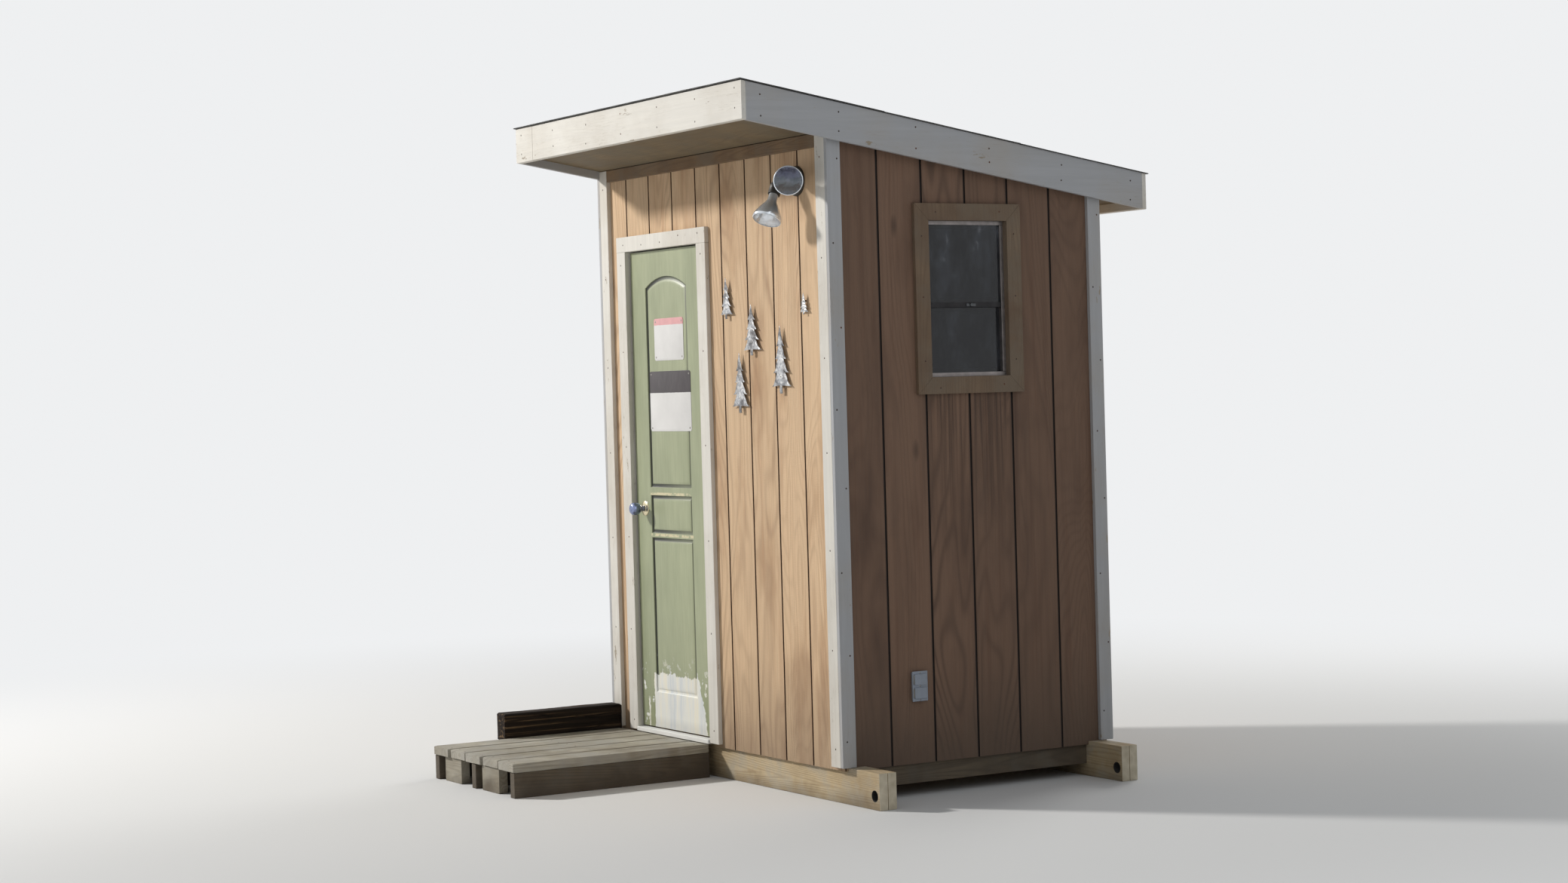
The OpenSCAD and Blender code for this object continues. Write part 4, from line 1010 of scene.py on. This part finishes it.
def make_window():
    low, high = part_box("window_frame")
    rail_low = low.z + RAIL_SHARE * (high.z - low.z) - 0.010
    rail_high = rail_low + 0.020
    bars = Shape()
    y0, y1 = low.y + SASH_IN, high.y - SASH_IN
    for z0, z1, back in ((low.z + SASH_IN, rail_low, 0.022), (rail_high, high.z - SASH_IN, 0.012)):
        x = high.x - back
        bars.border(y0, z0, y1, z1, SASH_WIDE, x - 0.004, x + 0.003)
        bars.border(y0 + SASH_WIDE, z0 + SASH_WIDE, y1 - SASH_WIDE, z1 - SASH_WIDE, SEAL_WIDE, x - 0.004,
                    x + 0.0015, 1)
    bars.piece("sash_bars", "window_metal", "lamp_enamel dark_gasket", bevel=0.0006, smooth=35)
    latch = Shape()
    cy = low.y + 0.56 * (high.y - low.y)
    x = high.x
    latch.box((x - 0.003, cy - 0.022, rail_low + 0.004), (x + 0.003, cy + 0.022, rail_high - 0.005))
    latch.lathe(LATCH_CAP, facing((x + 0.001, cy, rail_low + 0.010), TO_RIGHT), 24)
    latch.piece("sash_latch", "window_metal", "latch_alloy", bevel=0.0008, smooth=35)


def bar(shape, low, high, along, corner, wobble, seed, stations):
    """A bar along one axis, with a rounded section whose skin wanders inward a little."""
    a, b = [i for i in range(3) if i != along]
    length = high[along] - low[along]
    section = rounded(low[a], low[b], high[a], high[b], corner, 3)
    full = []
    for i, p in enumerate(section):
        full.append(p)
        q = section[(i + 1) % len(section)]
        steps = int(math.hypot(q[0] - p[0], q[1] - p[1]) / 0.02)
        for k in range(1, steps):
            full.append(tuple(p[j] + (q[j] - p[j]) * k / steps for j in range(4)))
    rings = []
    for t in evenly(0, 1, stations + 1):
        pos = low[along] + length * t
        tuck = corner * max(0.0, 1 - min(t, 1 - t) * length / 0.004) * 0.6
        ring = []
        for pa, pb, na, nb in full:
            broad = noise.noise(Vector((pa * 22 + seed * 9.1, pb * 22, pos * 3.2)))
            fine = noise.noise(Vector((pa * 70, pb * 70 + seed, pos * 21)))
            sink = wobble * (0.5 - 0.5 * broad) + wobble * 0.35 * abs(fine) + tuck
            point = [0.0, 0.0, 0.0]
            point[a], point[b], point[along] = pa - na * sink, pb - nb * sink, pos
            ring.append(tuple(point))
        rings.append(ring)
    shape.rows(rings, caps=True)


# Deck of five sawn boards: width, gap, and how far each foot end stays back
BOARD_W, BOARD_GAP = 0.144, 0.012
BOARD_ENDS = (0.0, 0.006, 0.002, 0.008, 0.003)
DECK_NAIL = mm((0, 0.6), (3, 0.4), (4.2, -0.4), (4.2, -2))


def make_deck():
    low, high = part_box("deck_boards")
    planks = Shape()
    nails = Shape()
    for i, inset in enumerate(BOARD_ENDS):
        x0 = low.x + i * (BOARD_W + BOARD_GAP)
        bar(planks, (x0, low.y + inset, low.z), (x0 + BOARD_W, high.y, high.z), 1, 0.004, 0.0016, i + 1, 60)
        for y in (low.y + 0.03, (low.y + high.y) / 2, high.y - 0.05):
            for dx in (0.03, BOARD_W - 0.03):
                x = x0 + dx + rng.uniform(-0.004, 0.004)
                place = (x, y + rng.uniform(-0.01, 0.01), high.z - 0.0012)
                nails.lathe(DECK_NAIL, facing(place, (0, 0, 1)), 12)
    planks.piece("deck_planks", "deck_wood", "deck_board", "deck_boards")
    nails.piece("deck_nails", "hinge_steel", "nail_head")


def make_timbers():
    for level, seed in (("lower", 5), ("upper", 8)):
        low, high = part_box("timber_" + level)
        shape = Shape()
        bar(shape, low, high, 1, 0.009, 0.004, seed, 70)
        shape.piece("rough_timber_" + level, "timber_wood", "timber_dark_and_shaded", "timber_" + level, smooth=45)


# Roll roofing in three courses, with ragged edges
def make_roofing():
    low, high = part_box("roofing")
    shape = Shape()
    nx, ny = 90, 84

    def at(u, v, layer):
        x = low.x + (high.x - low.x) * u
        y = low.y + (high.y - low.y) * v
        rag = 0.004 * (0.5 + 0.5 * noise.noise(Vector((x * 9, y * 9, 4.0))))
        x += {0.0: rag, 1.0: -rag}.get(u, 0.0)
        y += {0.0: rag, 1.0: -rag}.get(v, 0.0)
        lap = 0.0014 * sum(v > c for c in LAPS)
        ripple = 0.0009 * noise.noise(Vector((x * 3, y * 3, 1.0)))
        slope = high.z - ROOF_FALL * (y - low.y)
        return (x, y, slope - 0.0012 - lap + ripple - (0.0032 if layer else 0.0))

    us = evenly(0, 1, nx + 1)
    vs = sorted(evenly(0, 1, ny + 1) + [c + 0.0005 for c in LAPS])
    for layer in (0, 1):
        shape.rows([[at(u, v, layer) for u in us] for v in vs], closed=False)
    rim = [(u, 0.0) for u in us] + [(1.0, v) for v in vs[1:]]
    rim += [(u, 1.0) for u in us[::-1][1:]] + [(0.0, v) for v in vs[::-1][1:-1]]
    shape.rows([[at(u, v, layer) for u, v in rim] for layer in (0, 1)])
    shape.piece("roll_roofing", "roofing", "mineral_roofing", "roofing")


# Nail heads on the trim
NAIL = mm((0, 0.7), (2.4, 0.5), (3.6, 0), (3.6, -1.5))
FASCIA_TALL = 0.145
FASCIA_ROWS = (0.035, 0.11)


def make_nails():
    shape = Shape()

    def nail(point, out):
        jitter = Vector([rng.uniform(-reach, reach) for reach in (0.003, 0.003, 0.012)])
        for k in range(3):
            if abs(out[k]) > 0.5:
                jitter[k] = 0
        shape.lathe(NAIL, facing(Vector(point) + jitter, out), 10)

    def corner_top(y, margin):
        return Z_SIDING + CORNER_TALL - ROOF_FALL * (y - Y_FRONT) - margin

    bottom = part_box("corner_boards")[0].z + 0.06
    for y, out in ((Y_FRONT - TRIM_THICK, TO_FRONT), (Y_REAR + TRIM_THICK, TO_REAR)):
        for x in (X_LEFT + 0.034, X_RIGHT - 0.034):
            for z in evenly(bottom, corner_top(y, 0.06), 7):
                nail((x, y, z), out)
    for x, out in ((X_LEFT - TRIM_THICK, TO_LEFT), (X_RIGHT + TRIM_THICK, TO_RIGHT)):
        for y in (Y_FRONT + 0.012, Y_REAR - 0.012):
            for i, z in enumerate(evenly(bottom + 0.05, corner_top(y, 0.07), 8)):
                nail((x, y + (0.016 if i % 2 else -0.012), z), out)
    low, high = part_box("door_casing")
    for x in (low.x + 0.038, high.x - 0.038):
        for z in evenly(low.z + 0.05, high.z - 0.11, 6):
            nail((x, Y_FRONT - TRIM_THICK, z), TO_FRONT)
    for x in evenly(low.x + 0.06, high.x - 0.06, 5):
        nail((x, Y_FRONT - TRIM_THICK, high.z - 0.032), TO_FRONT)
    low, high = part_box("fascia_eaves")
    for x in evenly(low.x + 0.05, high.x - 0.05, 7):
        for dz in FASCIA_ROWS:
            nail((x, low.y, high.z - FASCIA_TALL + dz), TO_FRONT)
            nail((x, high.y, low.z + dz), TO_REAR)
    low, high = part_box("fascia_rakes")
    for y in evenly(low.y + 0.06, high.y - 0.06, 6):
        for dz in FASCIA_ROWS:
            z = high.z - FASCIA_TALL - ROOF_FALL * (y - low.y) + dz
            nail((high.x, y, z), TO_RIGHT)
            nail((low.x, y, z), TO_LEFT)
    low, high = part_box("window_casing")
    for z in (low.z + 0.033, high.z - 0.033):
        for y in (low.y + 0.1, high.y - 0.1):
            nail((high.x, y, z), TO_RIGHT)
    for y in (low.y + 0.033, high.y - 0.033):
        for z in evenly(low.z + 0.12, high.z - 0.12, 3):
            nail((high.x, y, z), TO_RIGHT)
    shape.piece("nail_heads", "hinge_steel", "nail_head")


# Screws of the door hinges
HINGE_SCREW = mm((0, 0), (3, -0.1), (3.8, -0.6))


def make_hinge_screws():
    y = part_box("hinge_leaves")[0].y + 0.024
    low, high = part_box("door_leaf")
    shape = Shape()
    for z in (low.z + 0.230, low.z + (high.z - low.z) / 2, high.z - 0.200):
        for dz in (-0.03, 0.0, 0.03):
            shape.lathe(HINGE_SCREW, facing((high.x + 0.0024, y + abs(dz) * 0.15, z + dz), TO_RIGHT), 14)
    shape.piece("hinge_screws", "hinge_steel", "dull_steel", body="door")


for make in (make_door, make_knob, make_signs, make_trees, make_floodlight, make_outlet, make_window,
             make_deck, make_timbers, make_roofing, make_nails, make_hinge_screws):
    make()

# Pale floor that fades into the background, soft key from the front left, even fill, light from behind
PALE = (0.86, 0.87, 0.88, 1)
FLOOR_R = 16
FADE_FROM, FADE_TO = 2.6, 7.5


def make_floor():
    g = Look("studio_floor")
    g.base = (0.72, 0.72, 0.71, 1)
    g.done(0.9)
    reach = g.node("VectorMath", {0: g.pos}, "Value", operation="LENGTH")
    fade = g.node("MapRange", {0: reach, 1: FADE_FROM, 2: FADE_TO}, interpolation_type="SMOOTHSTEP")
    glow = g.node("Emission", {"Color": PALE})
    mix = g.node("MixShader", {0: fade, 1: Value(g, g.shader.outputs[0]), 2: glow})
    g.feed(g.tree.nodes["Material Output"].inputs["Surface"], mix)
    mesh = bpy.data.meshes.new("floor")
    ring = circle(FLOOR_R, 0, 96)
    mesh.from_pydata(ring, [], [tuple(range(len(ring)))])
    mesh.materials.append(g.mat)
    obj = placed("floor", mesh)
    obj.location.z = -0.0005


def make_world():
    world = bpy.data.worlds.new("studio")
    scene.world = world
    world.use_nodes = True
    g = Graph(world.node_tree)
    light = g.tree.nodes["Background"]
    light.inputs["Color"].default_value = (0.92, 0.96, 1.0, 1)
    light.inputs["Strength"].default_value = 0.28
    shown = g.node("Background", {"Color": PALE, "Strength": 1.0})
    rays = g.tree.nodes.new("ShaderNodeLightPath").outputs
    camera, glossy, through = (Value(g, rays["Is %s Ray" % kind])
                               for kind in ("Camera", "Glossy", "Transmission"))
    seen = g.calc("MAXIMUM", g.calc("MAXIMUM", camera, glossy), through)
    mix = g.node("MixShader", {0: seen, 1: Value(g, light.outputs[0]), 2: shown})
    g.feed(g.tree.nodes["World Output"].inputs["Surface"], mix)


def make_lamp(name, place, aim, size, power, color):
    data = bpy.data.lights.new(name, "AREA")
    data.shape = "DISK"
    data.size = size
    data.energy = power
    data.color = color
    placed(name, data).matrix_world = facing(place, Vector(aim) - Vector(place), "-Z")


make_floor()
make_world()
make_lamp("key", (-7.9, -7.9, 7.2), (0, -0.4, 1.3), 1.2, 1420, (1.0, 0.975, 0.945))
make_lamp("fill", (7.5, -1.5, 4.5), (0, 0, 1.2), 5.0, 50, (0.94, 0.96, 1.0))
make_lamp("rear", (-3.0, 7.5, 4.5), (0, 0, 1.4), 4.0, 220, (1.0, 0.99, 0.97))
scene.view_settings.view_transform = "Standard"
